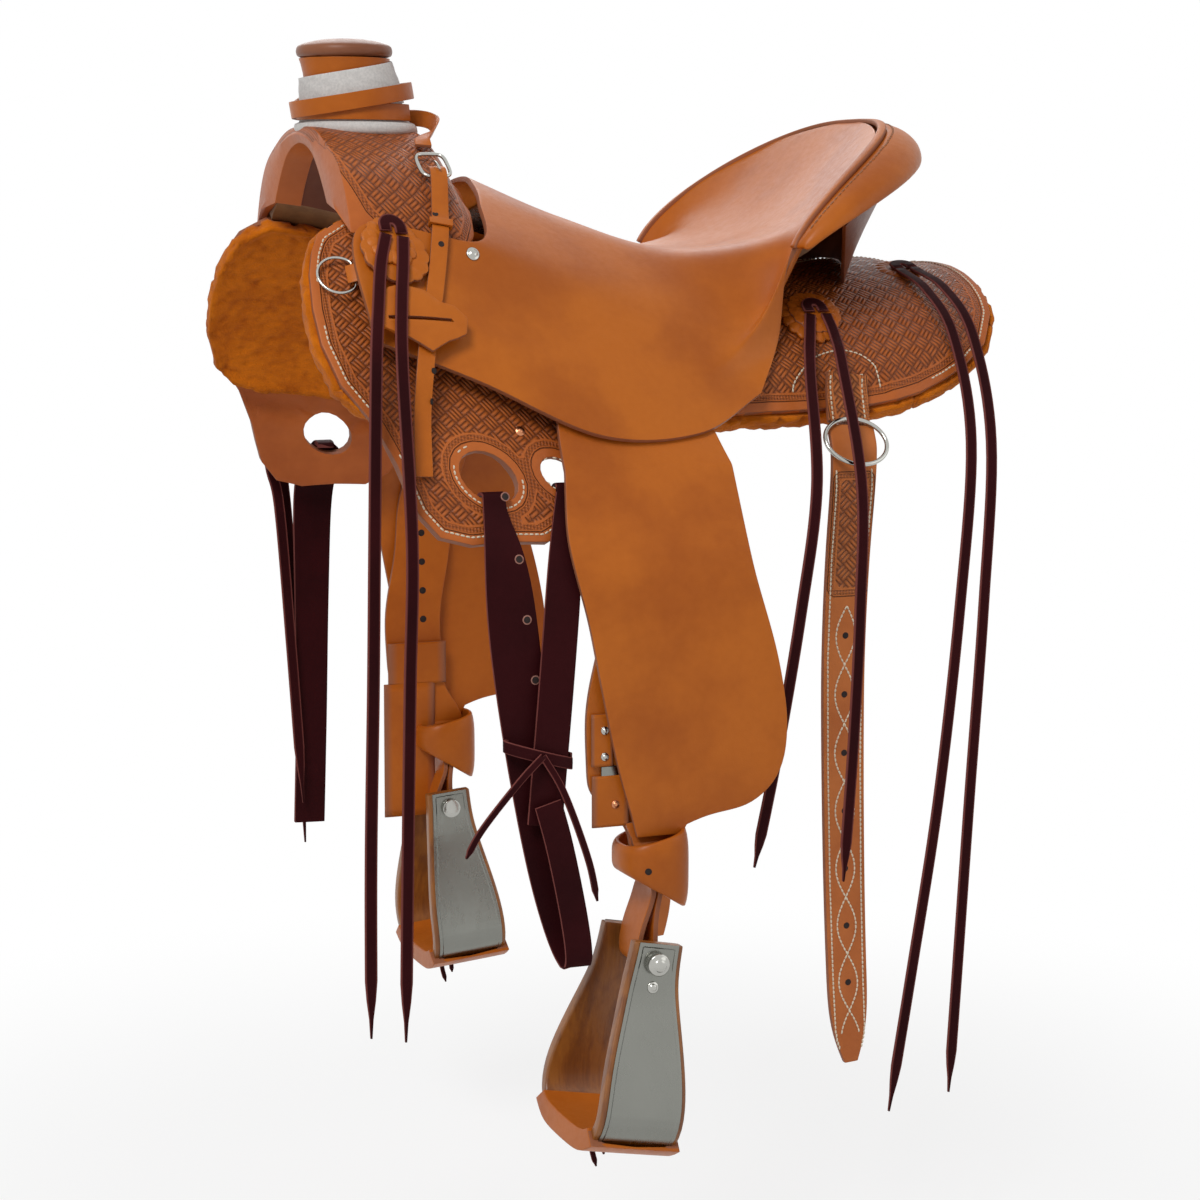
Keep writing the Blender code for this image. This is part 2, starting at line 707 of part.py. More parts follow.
def build_horn():
    base = FORK_TOP_Z + COVER_LEATHER + 2 * GAP
    bm = bmesh.new()
    profile = [(0.0, base), (HORN_NECK_R, base), (HORN_NECK_R - 0.0015, HORN_NECK_TOP - 0.008),
               (HORN_NECK_R + 0.0005, HORN_NECK_TOP), (0.0, HORN_NECK_TOP)]
    turned(bm, profile, 24)
    lean(bm)
    finish("horn_neck", bm, "smooth_leather")
    bm = bmesh.new()
    low = HORN_NECK_TOP + GAP
    r = HORN_CAP_R
    profile = [(0.0, low), (r - 0.004, low), (r - 0.0008, low + 0.002), (r, low + 0.006),
               (r - 0.001, low + HORN_CAP_THICK - 0.001), (r - 0.004, low + HORN_CAP_THICK + 0.001),
               (r * 0.6, low + HORN_CAP_THICK + 0.7 * HORN_CAP_CROWN),
               (0.0, low + HORN_CAP_THICK + HORN_CAP_CROWN)]
    turned(bm, profile, 28)
    bmesh.ops.translate(bm, verts=bm.verts, vec=(horn_centre(HORN_NECK_TOP).x, 0, 0))
    finish("horn_cap", bm, "dark_leather")
    build_horn_wrap(base)
    build_horn_strap(base)


def turned(bm, profile, steps):
    """Revolve a profile of (radius, height), poles at both ends, about Z."""
    rings = []
    for r, z in profile:
        if r < 1e-6:
            rings.append([bm.verts.new((0, 0, z))])
        else:
            rings.append([bm.verts.new((r * cos(2 * pi * k / steps), r * sin(2 * pi * k / steps), z))
                          for k in range(steps)])
    for a, b in zip(rings, rings[1:]):
        for k in range(steps):
            j = (k + 1) % steps
            if len(a) == 1:
                bm.faces.new((a[0], b[j], b[k]))
            elif len(b) == 1:
                bm.faces.new((a[k], a[j], b[0]))
            else:
                bm.faces.new((a[k], a[j], b[j], b[k]))


WRAP_OUT = HORN_NECK_R + 0.001 + GAP + WRAP_THICK


def build_horn_wrap(base):
    """One unbroken strip of mulehide wound up the horn's neck, higher behind than in front."""
    middle = WRAP_OUT - WRAP_THICK / 2
    tall = HORN_NECK_TOP - base - 2 * GAP
    per_turn = 24

    def centre(i):
        a = 2 * pi * i / per_turn + radians(200)
        room = tall * (0.87 + 0.13 * cos(a))
        pitch = room / (WRAP_TURNS + 1)
        z = base + GAP + pitch * (0.5 + i / per_turn)
        out = Vector((cos(a), sin(a), 0))
        return horn_centre(z) + out * middle, out, pitch - WRAP_GAP

    loops = []
    for i in range(WRAP_TURNS * per_turn + 1):
        mid, out, width = centre(i)
        half_w, half_t = width / 2, WRAP_THICK / 2
        section = [(half_t, 0.0), (half_t * 0.75, half_w), (-half_t, half_w),
                   (-half_t, -half_w), (half_t * 0.75, -half_w)]
        loops.append([mid + out * dr + Vector((0, 0, dz)) for dr, dz in section])
    loft("horn_wrap", loops, "mulehide")
    gap = min(centre(i + per_turn)[0].z - centre(i)[0].z
              - (centre(i)[2] + centre(i + per_turn)[2]) / 2
              for i in range((WRAP_TURNS - 1) * per_turn))
    print(f"horn_wrap: {WRAP_TURNS} turns, least gap to itself {1000 * gap:.2f} mm")


def knot_value(knots, a):
    """Smooth value at a through (position, value) knots."""
    for (a0, v0), (a1, v1) in zip(knots, knots[1:]):
        if a <= a1:
            return v0 + (v1 - v0) * smooth((a - a0) / (a1 - a0))
    return knots[-1][1]


def cover_point(x, z, lift, side=NEAR):
    """Point at height z on the fork cover's outer side, lifted off it."""
    line = offset_profile(fork_profile(x)[1], COVER_LEATHER + 2 * GAP + lift)
    for a, b in zip(line, line[1:]):
        if a.z >= z >= b.z:
            p = a.lerp(b, (a.z - z) / (a.z - b.z))
            return Vector((p.x, p.y * side, p.z))
    return Vector((line[-1].x, line[-1].y * side, line[-1].z))


BUCKLE_X = -0.2030
BUCKLE_Z = 0.1800


def build_horn_strap(base):
    """Strap round the horn, buckled, with its tail down the near side."""
    clear = 0.0006
    t = HORN_STRAP_THICK
    w = HORN_STRAP_WIDTH
    inner = WRAP_OUT + clear + t / 2
    outer = inner + t + 0.0010
    heights = [(0, 0.0080), (180, 0.0140), (360, 0.0325), (440, 0.0290), (540, 0.0125), (700, 0.0115)]
    radii = [(0, outer), (380, outer), (440, inner), (700, inner)]
    half_w, half_l = w / 2 + 0.0060, 0.0170
    top = cover_point(BUCKLE_X, BUCKLE_Z + half_l * 0.82 + 0.0030, t / 2 + 0.0046)
    path = [top, cover_point(BUCKLE_X + 0.002, BUCKLE_Z + 0.024, t / 2 + 0.006),
            Vector((HORN_X + outer + 0.0045, -0.050, base + 0.001)),
            Vector((HORN_X + outer + 0.0020, -0.024, base + 0.0065))]
    across = [Vector((1, 0, 0)), Vector((1, 0, 0.25)), Vector((0.6, 0, 1)), Vector((0.15, 0, 1))]
    for a in range(0, 701, 18):
        r = knot_value(radii, a)
        mid = horn_centre(base + knot_value(heights, a))
        path.append(mid + Vector((cos(radians(a)), sin(radians(a)), 0)) * r)
        across.append(Vector((-HORN_LEAN, 0, HORN_NECK_TOP - FORK_TOP_Z)))
    strap("horn_strap_loop", path, across, w, t, "smooth_leather")
    middle = cover_point(BUCKLE_X, BUCKLE_Z, t / 2 + 0.0046)
    below = cover_point(BUCKLE_X, BUCKLE_Z - 0.012, t / 2 + 0.0046)
    down = (below - top).normalized()
    corners = []
    for k in range(24):
        a = 2 * pi * k / 24
        cx = abs(cos(a)) ** 0.5 * (1 if cos(a) >= 0 else -1)
        sx = abs(sin(a)) ** 0.5 * (1 if sin(a) >= 0 else -1)
        corners.append(middle + Vector((1, 0, 0)) * half_w * cx + down * half_l * sx)
    tube("horn_strap_buckle", corners, 0.0019, "plated_metal", sides=8, ring=True)
    face = down.cross(Vector((1, 0, 0))).normalized()
    if face.z < 0:
        face = -face
    pivot = middle + face * 0.0045
    tip = middle + down * (half_l + 0.0005) + face * 0.0080
    tube("horn_strap_tongue", [pivot, pivot.lerp(tip, 0.5) + face * 0.0014, tip], 0.0013,
         "plated_metal", sides=8, origin=pivot)
    over_bar = middle + down * half_l + face * (0.0019 + t / 2 + 0.0008)
    tail = [middle + down * 0.0040, over_bar,
            cover_point(BUCKLE_X - 0.007, BUCKLE_Z - 0.042, t / 2 + 0.0055)]
    for x, s, h in ((-0.2140, 0.152, 0.0565), (-0.2200, 0.178, 0.0500), (-0.2300, 0.215, 0.0455),
                    (-0.2430, 0.255, 0.0455), (-0.2520, 0.292, 0.0430), (-0.2560, 0.325, 0.0300),
                    (-0.2590, 0.372, 0.0235)):
        tail.append(lay(x, s, h, NEAR))
    smooth_tail = spline(tail, 22)
    strap("horn_strap_tail", smooth_tail, (1, 0.0, 0.0), w, t, "smooth_leather")
    stations = []
    for k in (6, 7):
        along = (smooth_tail[k + 1] - smooth_tail[k - 1]).normalized()
        wide = Vector((1, 0, 0)) - along * along.x
        wide.normalize()
        stations.append((smooth_tail[k], wide, along.cross(wide), w / 2 + 0.0008, t / 2 + 0.0006))
    sleeve("horn_strap_keeper", stations, 0.0020, "smooth_leather")


def rim_frame(v, side):
    """Point on the cantle's rim, the way its roll leans out, and the roll's upper side."""
    p = rim(abs(v))
    ahead = rim(min(abs(v) + 0.01, 1.0)) - rim(max(abs(v) - 0.01, 0.0))
    p, ahead = Vector((p.x, p.y * side, p.z)), Vector((ahead.x, ahead.y * side, ahead.z))
    flat = Vector(((p.x - RIM_X) / RIM_RUN ** 2, p.y / RIM_HALF ** 2, 0)).normalized()
    ahead.normalize()
    out = flat + Vector((0, 0, -0.55))
    out = (out - ahead * out.dot(ahead)).normalized()
    up = out.cross(ahead).normalized()
    if up.z < 0 or (up.z < 0.2 and up.dot(flat) < 0):
        up = -up
    return p, out, up


def build_seat():
    seat_shell("seat_leather", range(SEAT_ROWS + 1), SEAT_COLUMNS, 0.0, SEAT_LEATHER,
               "smooth_leather")
    loops = []
    steps = 26
    for i in range(steps + 1):
        v = -0.985 + 1.97 * i / steps
        p, out, up = rim_frame(v, OFF if v >= 0 else NEAR)
        w = ROLL_WIDTH * (1 - 0.72 * abs(v) ** 3)
        t = ROLL_THICK * (1 - 0.45 * abs(v) ** 3)
        centre = p + out * (w / 2 + ROLL_CLEAR)
        loop = []
        for k in range(12):
            a = 2 * pi * k / 12
            bend = -0.16 * w * cos(a) ** 2 if cos(a) > 0 else 0.0
            loop.append(centre + out * (w / 2 * cos(a)) + up * (t / 2 * sin(a) + bend))
        loops.append(loop)
    loft("cheyenne_roll", loops, "smooth_leather")
    build_cantle_back()


ROLL_CLEAR = 0.0056          # the roll's inner edge stands this far off the rim


def build_cantle_back():
    """Skin that closes the cantle's back, from under the roll down to the skirts."""
    grid, normals = [], []
    for i in range(5):
        f = i / 4
        row, out = [], []
        for j in range(-8, 9):
            v = 0.74 * j / 8
            side = OFF if v >= 0 else NEAR
            p, lean_out, _ = rim_frame(v, side)
            flat = Vector((lean_out.x, lean_out.y, 0)).normalized()
            top = p + flat * 0.0165 - Vector((0, 0, 0.0260))
            low = lay(0.238 - 0.060 * abs(v) ** 2, 0.012 + 0.110 * abs(v) ** 1.3,
                      H_OVER + SKIRT + 0.0012, side)
            row.append(top.lerp(low, f))
            out.append(flat)
        grid.append(row)
        normals.append(out)
    shell("cantle_back", grid, normals, -COVER_LEATHER, 0.0, "dark_leather")


SKIRT_OUTLINE = [(-0.290, 0.134), (-0.290, 0.134), (-0.314, 0.150), (-0.328, 0.190),
                 (-0.331, 0.225), (-0.329, 0.258), (-0.318, 0.295), (-0.294, 0.329),
                 (-0.279, 0.362), (-0.266, 0.402), (-0.249, 0.420), (-0.222, 0.422),
                 (-0.188, 0.412), (-0.155, 0.404), (-0.132, 0.385), (-0.112, 0.345),
                 (-0.080, 0.290), (-0.020, 0.258), (0.060, 0.230), (0.140, 0.223),
                 (0.190, 0.221), (0.242, 0.212), (0.296, 0.188), (0.325, 0.166),
                 (0.345, 0.133), (0.353, 0.090), (0.352, 0.040), (0.345, 0.002),
                 (0.345, 0.002), (0.215, 0.002), (0.215, 0.002), (0.150, 0.040),
                 (0.060, 0.074), (-0.040, 0.100), (-0.120, 0.134), (-0.140, 0.134),
                 (-0.140, 0.134)]
FLEECE_OUTLINE = [(-0.290, 0.132), (-0.290, 0.132), (-0.316, 0.152), (-0.330, 0.190),
                  (-0.333, 0.225), (-0.331, 0.258), (-0.320, 0.295), (-0.303, 0.312),
                  (-0.276, 0.319), (-0.276, 0.319), (-0.120, 0.300), (-0.020, 0.262),
                  (0.060, 0.233), (0.190, 0.224), (0.243, 0.215), (0.298, 0.191),
                  (0.328, 0.168), (0.348, 0.134), (0.356, 0.090), (0.352, 0.008),
                  (0.352, 0.008), (0.210, 0.008), (0.140, 0.034), (-0.020, 0.060),
                  (-0.120, 0.110), (-0.200, 0.130)]
RIG_HOLES = [(-0.200, 0.359, HOLE_R), (-0.134, 0.340, HOLE_R * 0.70)]


def rig_holes(count=20):
    return [circle_points(x, t, r, r * 0.86, count) for x, t, r in RIG_HOLES]


def build_skirts():
    skirt = outline_points(SKIRT_OUTLINE, 0.028)
    fleece = outline_points(FLEECE_OUTLINE, 0.034)

    def skirt_place(side):
        def place(x, t, k):
            low = skirt_height(x, t)
            plate = smooth((t - 0.334) / 0.012) * smooth((-0.085 - x) / 0.020)
            return lay(x, t, low + SKIRT if k else low - LINER * plate, side)
        return place

    for side, word in SIDES:
        cut_sheet(f"skirt_{word}", skirt, rig_holes(), skirt_place(side), "tooled_leather")
        laid_sheet(f"fleece_{word}", fleece, [], 0.0, FLEECE, side, "fleece")


H_SEAT_ROSETTE = H_OVER + SKIRT + LAY_GAP
SEAT_ROSETTE_THICK = 0.0060
H_FRONT_ROSETTE = 0.0505
ROSETTE_THICK = 0.0035


def scallop(cx, ct, r, lobes=14, per=4):
    out = []
    for i in range(lobes * per):
        a = 2 * pi * i / (lobes * per)
        q = r * (0.94 + 0.06 * abs(cos(a * lobes / 2)))
        out.append(Vector((cx + q * cos(a), ct + q * 0.95 * sin(a))))
    return out


def build_rosettes():
    def front_place(side):
        def place(x, t, k):
            h = H_FRONT_ROSETTE - 0.0040 * smooth((t - 0.165) / 0.040)
            return lay(x, t, h + k * ROSETTE_THICK, side)
        return place

    for side, word in SIDES:
        cut_sheet(f"front_rosette_{word}", scallop(-0.260, 0.184, 0.0300), [],
                  front_place(side), "smooth_leather", (0.025, 0.015))
        laid_sheet(f"seat_rosette_{word}", scallop(0.156, 0.130, 0.0255), [], H_SEAT_ROSETTE,
                   H_SEAT_ROSETTE + SEAT_ROSETTE_THICK, side, "smooth_leather")


def build_carrier():
    """Latigo carrier on the near side, with its slot, standing off the horn strap's tail."""
    outline = outline_points([(-0.286, 0.240), (-0.274, 0.221), (-0.256, 0.2165), (-0.241, 0.2180),
                              (-0.230, 0.226), (-0.217, 0.227), (-0.207, 0.236), (-0.211, 0.251),
                              (-0.228, 0.261), (-0.244, 0.273), (-0.244, 0.273), (-0.262, 0.264),
                              (-0.284, 0.257)], 0.012)
    slot = [Vector(p) for p in ((-0.278, 0.2470), (-0.250, 0.2435), (-0.222, 0.2400),
                                (-0.220, 0.2425), (-0.250, 0.2465), (-0.278, 0.2500))]

    def place(x, t, k):
        h = 0.0480 + 0.0015 * smooth((t - 0.200) / 0.020)
        return lay(x, t, h + k * 0.0035, NEAR)
    cut_sheet("latigo_carrier", outline, [slot], place, "smooth_leather", (0.030, 0.020))


TAB_OUTER = [(-0.2700, 0.0358), (-0.2850, 0.0340), (-0.2935, 0.0316), (-0.2990, 0.0264),
             (-0.2975, 0.0228), (-0.2860, 0.0262), (-0.2700, 0.0300)]
TAB_INNER = [(-0.2700, 0.0344), (-0.2850, 0.0326), (-0.2915, 0.0304), (-0.2968, 0.0264),
             (-0.2958, 0.0243), (-0.2860, 0.0277), (-0.2700, 0.0314)]
DEE_TAB_T = 0.1960


def build_front_dees():
    for side, word in SIDES:
        near = lay(-0.2925, DEE_TAB_T, 0.0272, side)
        far = lay(-0.3275, DEE_TAB_T, H_SKIRT_TOP + 0.0042, side)
        nx = (near - far).normalized()
        nt = (lay(-0.308, 0.200, 0.02, side) - lay(-0.308, 0.192, 0.02, side)).normalized()
        flat = FRONT_DEE_R * 0.72
        centre = near - nx * flat
        path = [centre + nx * min(FRONT_DEE_R * cos(2 * pi * k / 28), flat)
                + nt * FRONT_DEE_R * sin(2 * pi * k / 28) for k in range(28)]
        tube(f"front_dee_{word}", path, 0.0014, "plated_metal", sides=8, ring=True, origin=near)
        section = [lay(x, DEE_TAB_T, h, side) for x, h in TAB_OUTER + TAB_INNER[::-1]]
        half = nt * 0.0088
        loft(f"dee_tab_{word}", [[p - half for p in section], [p + half for p in section]],
             "smooth_leather")


def build_flank_rigging():
    for side, word in SIDES:
        lift = SKIRT + BILLET_THICK / 2 - 0.0002
        top = [lay(x, t, skirt_height(x, t) + lift + extra, side)
               for x, t, extra in ((0.166, 0.196, 0.0010), (0.164, 0.208, 0.0026),
                                   (0.160, 0.228, 0.0010), (0.157, 0.243, 0.0))]
        strap(f"flank_strap_top_{word}", spline(top, 7), (1, 0, 0), BILLET_WIDTH - 0.004,
              BILLET_THICK - 0.0005, "tooled_leather")
        start = lay(0.157, 0.2455, H_SKIRT_TOP + 0.0040, side)
        path = [start, lay(0.156, 0.256, H_SKIRT_TOP + 0.0042, side),
                lay(0.1545, 0.270, H_SKIRT_TOP + 0.0030, side)]
        y = abs(path[-1].y) + 0.0030
        for x, z in ((0.1525, -0.105), (0.1480, -0.170), (0.1450, -0.260), (0.1460, -0.360),
                     (0.1490, -0.470), (0.1530, -0.560), (0.1580, -0.640)):
            path.append(Vector((x, y * side, z)))
        line = spline(path, 26)
        widths = [BILLET_WIDTH - 0.006 * max(0.0, (i - 5) / 20) for i in range(26)]
        widths[-1] *= 0.35
        widths[-2] *= 0.85
        k = 2
        along = (line[k + 1] - line[k - 1]).normalized()
        wide = Vector((1, 0, 0))
        wide = (wide - along * wide.dot(along)).normalized()
        out = Vector((0, side, 0))
        out = (out - along * out.dot(along)).normalized()
        lift = BILLET_THICK / 2 + GAP + DEE_WIRE / 2
        centre = line[k] + along * 0.012 + out * lift
        ring_top = centre - along * (FLANK_DEE_R * 0.80)
        strap(f"flank_billet_{word}", line, (1, 0, 0), widths, BILLET_THICK, "tooled_leather",
              origin=ring_top)
        ring_path = [centre + wide * FLANK_DEE_R * cos(2 * pi * j / 32)
                     + along * FLANK_DEE_R * 0.80 * sin(2 * pi * j / 32) for j in range(32)]
        tube(f"flank_dee_{word}", ring_path, DEE_WIRE / 2, "plated_metal", sides=8, ring=True,
             origin=ring_top)


def hanging(side, start, drop, count=20):
    """Smooth path through laid points (x, t, h) and then free points (x, y, z)."""
    pts = [lay(*p, side) for p in start] + [Vector((x, y * side, z)) for x, y, z in drop]
    return spline(pts, count)


def build_latigos():
    lip = 0.3590 + HOLE_R * 0.86
    over = H_SKIRT_TOP + 0.0032
    near = [(-0.2000, lip - 0.0080, 0.0100), (-0.2000, lip - 0.0078, 0.0150),
            (-0.2000, lip - 0.0040, over + 0.0024), (-0.2000, lip + 0.0100, over)]
    path = hanging(NEAR, near, [(-0.1985, 0.2895, -0.150), (-0.1900, 0.2925, -0.235),
                                (-0.1780, 0.2935, -0.330), (-0.1640, 0.2935, -0.420),
                                (-0.1500, 0.2940, -0.478), (-0.1420, 0.3010, -0.497),
                                (-0.1420, 0.3120, -0.488), (-0.1480, 0.3150, -0.450),
                                (-0.1600, 0.3140, -0.390), (-0.1700, 0.3125, -0.352)], 34)
    widths = [0.020 + 0.024 * smooth((i - 7) / 5) - 0.020 * smooth((i - 12) / 10)
              for i in range(34)]
    strap("latigo_left", path, (1, 0, 0), widths, LATIGO_THICK, "latigo_leather", origin=path[0])
    lip2 = 0.3380 + HOLE_R * 0.72 * 0.86
    short = [(-0.1350, lip2 - 0.0060, 0.0100), (-0.1350, lip2 - 0.0058, 0.0150),
             (-0.1350, lip2 - 0.0030, over), (-0.1365, lip2 + 0.0100, H_SKIRT_TOP + 0.0024)]
    path = hanging(NEAR, short, [(-0.1440, 0.2850, -0.150), (-0.1570, 0.3015, -0.240),
                                 (-0.1660, 0.3040, -0.330), (-0.1700, 0.3045, -0.372)], 22)
    widths = [0.013 + 0.018 * smooth((i - 8) / 5) for i in range(22)]
    strap("latigo_end_left", path, (1, 0, 0), widths, LATIGO_THICK, "latigo_leather",
          origin=path[0])
    path = hanging(OFF, near, [(-0.2040, 0.2895, -0.150), (-0.2060, 0.2925, -0.250),
                               (-0.2080, 0.2935, -0.380), (-0.2120, 0.2935, -0.495)], 26)
    widths = [0.017 + 0.025 * smooth((i - 6) / 5) - 0.010 * smooth((i - 11) / 12)
              for i in range(26)]
    strap("off_billet", path, (1, 0, 0), widths, LATIGO_THICK * 1.6, "latigo_leather",
          origin=path[0])


def thong(name, side, turn, fore, aft, fore_drop, aft_drop):
    """One thong: up its rear tail, a flat turn in (x, t) over its rosette, down the front tail."""
    cx, ct, r, h = turn
    centre = lay(cx, ct, h, side)
    nx = (lay(cx + 0.005, ct, h, side) - centre).normalized()
    nt = (lay(cx, ct + 0.005, h, side) - centre).normalized()
    up = hanging(side, aft, aft_drop, 20)[::-1]
    down = hanging(side, fore, fore_drop, 20)
    path = list(up)
    across = [Vector((1, 0, 0))] * len(up)
    for k in range(13):
        a = pi * k / 12
        radial = nx * cos(a) - nt * sin(a)
        path.append(centre + radial * r)
        across.append(radial)
    path += down
    across += [Vector((-1, 0, 0))] * len(down)
    strap(name, path, across, STRING_WIDTH, STRING_THICK, "latigo_leather")


def build_strings():
    turn = (-0.2590, 0.163, 0.0070, 0.0565)
    thong("front_string_left", NEAR, turn,
          [(-0.2665, 0.172, 0.0562), (-0.2760, 0.200, 0.0540), (-0.2860, 0.240, 0.0554),
           (-0.2960, 0.295, 0.0500)],
          [(-0.2515, 0.172, 0.0562), (-0.2570, 0.200, 0.0550), (-0.2660, 0.240, 0.0554),
           (-0.2740, 0.295, 0.0520)],
          [(-0.3060, 0.270, -0.130), (-0.3110, 0.278, -0.250), (-0.3150, 0.278, -0.400),
           (-0.3160, 0.276, -0.550)],
          [(-0.2780, 0.284, -0.130), (-0.2830, 0.290, -0.250), (-0.2860, 0.288, -0.400),
           (-0.2880, 0.284, -0.554)])
    thong("front_string_right", OFF, turn,
          [(-0.2665, 0.172, 0.0562), (-0.2700, 0.200, 0.0540), (-0.2720, 0.240, 0.0500),
           (-0.2680, 0.295, 0.0440)],
          [(-0.2515, 0.172, 0.0562), (-0.2530, 0.200, 0.0550), (-0.2560, 0.240, 0.0500),
           (-0.2520, 0.295, 0.0440)],
          [(-0.2500, 0.287, -0.110), (-0.2406, 0.286, -0.160), (-0.2316, 0.283, -0.298),
           (-0.2217, 0.280, -0.471)],
          [(-0.2350, 0.296, -0.110), (-0.2280, 0.301, -0.180), (-0.2220, 0.300, -0.298),
           (-0.2150, 0.300, -0.518)])
    h = H_SEAT_ROSETTE + SEAT_ROSETTE_THICK + LAY_GAP + STRING_THICK / 2
    thong("seat_string_left", NEAR, (0.1560, 0.128, 0.0070, h),
          [(0.1480, 0.137, h), (0.1380, 0.160, h), (0.1240, 0.200, 0.0400)],
          [(0.1640, 0.137, h), (0.1625, 0.161, h + 0.0010), (0.1540, 0.200, 0.0460)],
          [(0.1020, 0.262, -0.100), (0.0820, 0.274, -0.210), (0.0600, 0.276, -0.330),
           (0.0390, 0.274, -0.435)],
          [(0.1440, 0.266, -0.100), (0.1360, 0.282, -0.210), (0.1290, 0.286, -0.330),
           (0.1220, 0.284, -0.453)])
    h = H_OVER + SKIRT + LAY_GAP + STRING_THICK / 2
    thong("back_string_left", NEAR, (0.2840, 0.062, 0.0070, h),
          [(0.2765, 0.070, h), (0.2830, 0.110, 0.0330), (0.2870, 0.165, 0.0300)],
          [(0.2915, 0.070, h), (0.3020, 0.110, 0.0330), (0.3070, 0.165, 0.0300)],
          [(0.2780, 0.222, -0.070), (0.2640, 0.232, -0.220), (0.2440, 0.234, -0.400),
           (0.2200, 0.233, -0.560), (0.2000, 0.230, -0.694)],
          [(0.3000, 0.220, -0.070), (0.2900, 0.230, -0.220), (0.2780, 0.232, -0.400),
           (0.2690, 0.232, -0.560), (0.2630, 0.230, -0.683)])


def sleeve(name, stations, wall, look):
    """Closed band round a strap: each station is centre, wide, out, half width, half depth."""
    corners = ((1, 1), (-1, 1), (-1, -1), (1, -1))
    bm = bmesh.new()
    rows = []
    for c, w, o, hw, ho in stations:
        rows.append([[bm.verts.new(c + w * (hw + d) * sw + o * (ho + d) * so) for sw, so in corners]
                     for d in (0.0, wall)])
    for a, b in zip(rows, rows[1:]):
        for k in (0, 1):
            p, q = a[k], b[k]
            for face in ((p[1], p[2], q[2], q[1]), (p[3], p[0], q[0], q[3]),
                         (p[0], p[1], q[1]), (p[0], q[1], q[0]),
                         (p[2], p[3], q[2]), (p[3], q[3], q[2])):
                bm.faces.new(face)
    for inner, outer in (rows[0], rows[-1]):
        for i in range(4):
            j = (i + 1) % 4
            bm.faces.new((inner[i], inner[j], outer[j], outer[i]))
    return finish(name, bm, look)


def rise(side, z):
    """How far up the off leathers are drawn at height z, being buckled shorter."""
    return OFF_SIDE_RISE * smooth((-0.200 - z) / 0.180) if side == OFF else 0.0


def leather_run(side, h):
    """Line in y and z that the leathers hang along, h above the drape at the hinge."""
    x = BOLT_X + 0.014
    pts = [lay(x, t, h, side) for t in (HINGE_T + HINGE_GAP / 2, 0.340, 0.370, 0.400)]
    for y, z in ((0.2990, -0.200), (0.3005, -0.250), (0.3000, -0.300), (0.2985, -0.350)):
        pts.append(Vector((x, (y + h - H_HANGER) * side, z + rise(side, z))))
    for z in (-0.395, -0.415):
        pts.append(Vector((x, (0.2960 + h - H_HANGER) * side, z + rise(side, z))))
    return spline(pts, 73)


def along_run(run, s):
    """Point at length s along a run, and its direction there."""
    n = len(run)
    for i in range(n - 1):
        step = (run[i + 1] - run[i]).length
        if s <= step + 1e-9 or i == n - 2:
            f = s / step
            before = (run[i + 1] - run[max(i - 1, 0)]).normalized()
            after = (run[min(i + 2, n - 1)] - run[i]).normalized()
            return run[i].lerp(run[i + 1], f), before.lerp(after, min(f, 1.0)).normalized()
        s -= step


FENDER_OUTLINE = [(0.0215, 0.0), (0.0215, 0.0), (0.0225, 0.060), (0.0265, 0.100), (0.0467, 0.173),
                  (0.0560, 0.228), (0.0550, 0.260), (0.0450, 0.284), (0.0227, 0.301),
                  (-0.0180, 0.307), (-0.0380, 0.314), (-0.0420, 0.322), (-0.0420, 0.322),
                  (-0.0840, 0.322), (-0.0840, 0.322), (-0.0900, 0.300), (-0.1020, 0.262),
                  (-0.1167, 0.197), (-0.1300, 0.128), (-0.1420, 0.068), (-0.1340, 0.0),
                  (-0.1340, 0.0)]
HANGER_END = HINGE_T - HINGE_GAP / 2
HANGER_OUTLINE = [(-0.105, 0.205), (-0.105, 0.205), (-0.120, 0.250), (-0.136, 0.285),
                  (-0.134, HANGER_END), (-0.134, HANGER_END),
                  (0.0215, HANGER_END), (0.0215, HANGER_END), (0.018, 0.280),
                  (0.010, 0.240), (-0.002, 0.205), (-0.002, 0.205)]


def build_leathers():
    for side, word in SIDES:
        run = leather_run(side, H_HANGER + STRAP_LEATHER / 2)

        def hanger_place(x, t, k, run=run, side=side):
            """On the bars at the top, and straight along X at the hinge."""
            laid = lay(x, t, H_HANGER + k * STRAP_LEATHER, side)
            back = HINGE_T + HINGE_GAP / 2 - t
            d = (run[1] - run[0]).normalized()
            out = Vector((0, -d.z * side, d.y * side))
            straight = run[0] - d * back + out * (STRAP_LEATHER * (k - 0.5))
            straight.x = x
            return laid.lerp(straight, smooth((t - 0.268) / (HANGER_END - 0.268)))
        cut_sheet(f"leather_hanger_{word}", outline_points(HANGER_OUTLINE, 0.03), [],
                  hanger_place, "smooth_leather")
        hinge = lay(BOLT_X + 0.014, HINGE_T, H_HANGER_TOP, side)

        def fender_place(x, s, k, run=run, side=side):
            p, d = along_run(run, s)
            out = Vector((0, -d.z, d.y)) * side
            if out.y * side < 0:
                out = -out
            p = p + out * (STRAP_LEATHER * (k - 0.5))
            return Vector((x, p.y, p.z))
        cut_sheet(f"fender_{word}", outline_points(FENDER_OUTLINE, 0.026), [], fender_place,
                  "smooth_leather", (0.045, 0.026), origin=hinge)
        run = leather_run(side, H_HANGER - 0.0012 - STRAP_LEATHER / 2)
        bolt = Vector((BOLT_X, BOLT_Y * side, BOLT_Z + rise(side, BOLT_Z)))
        build_stirrup_leather(side, word, run, bolt, hinge)
        build_stirrup(side, word, bolt)


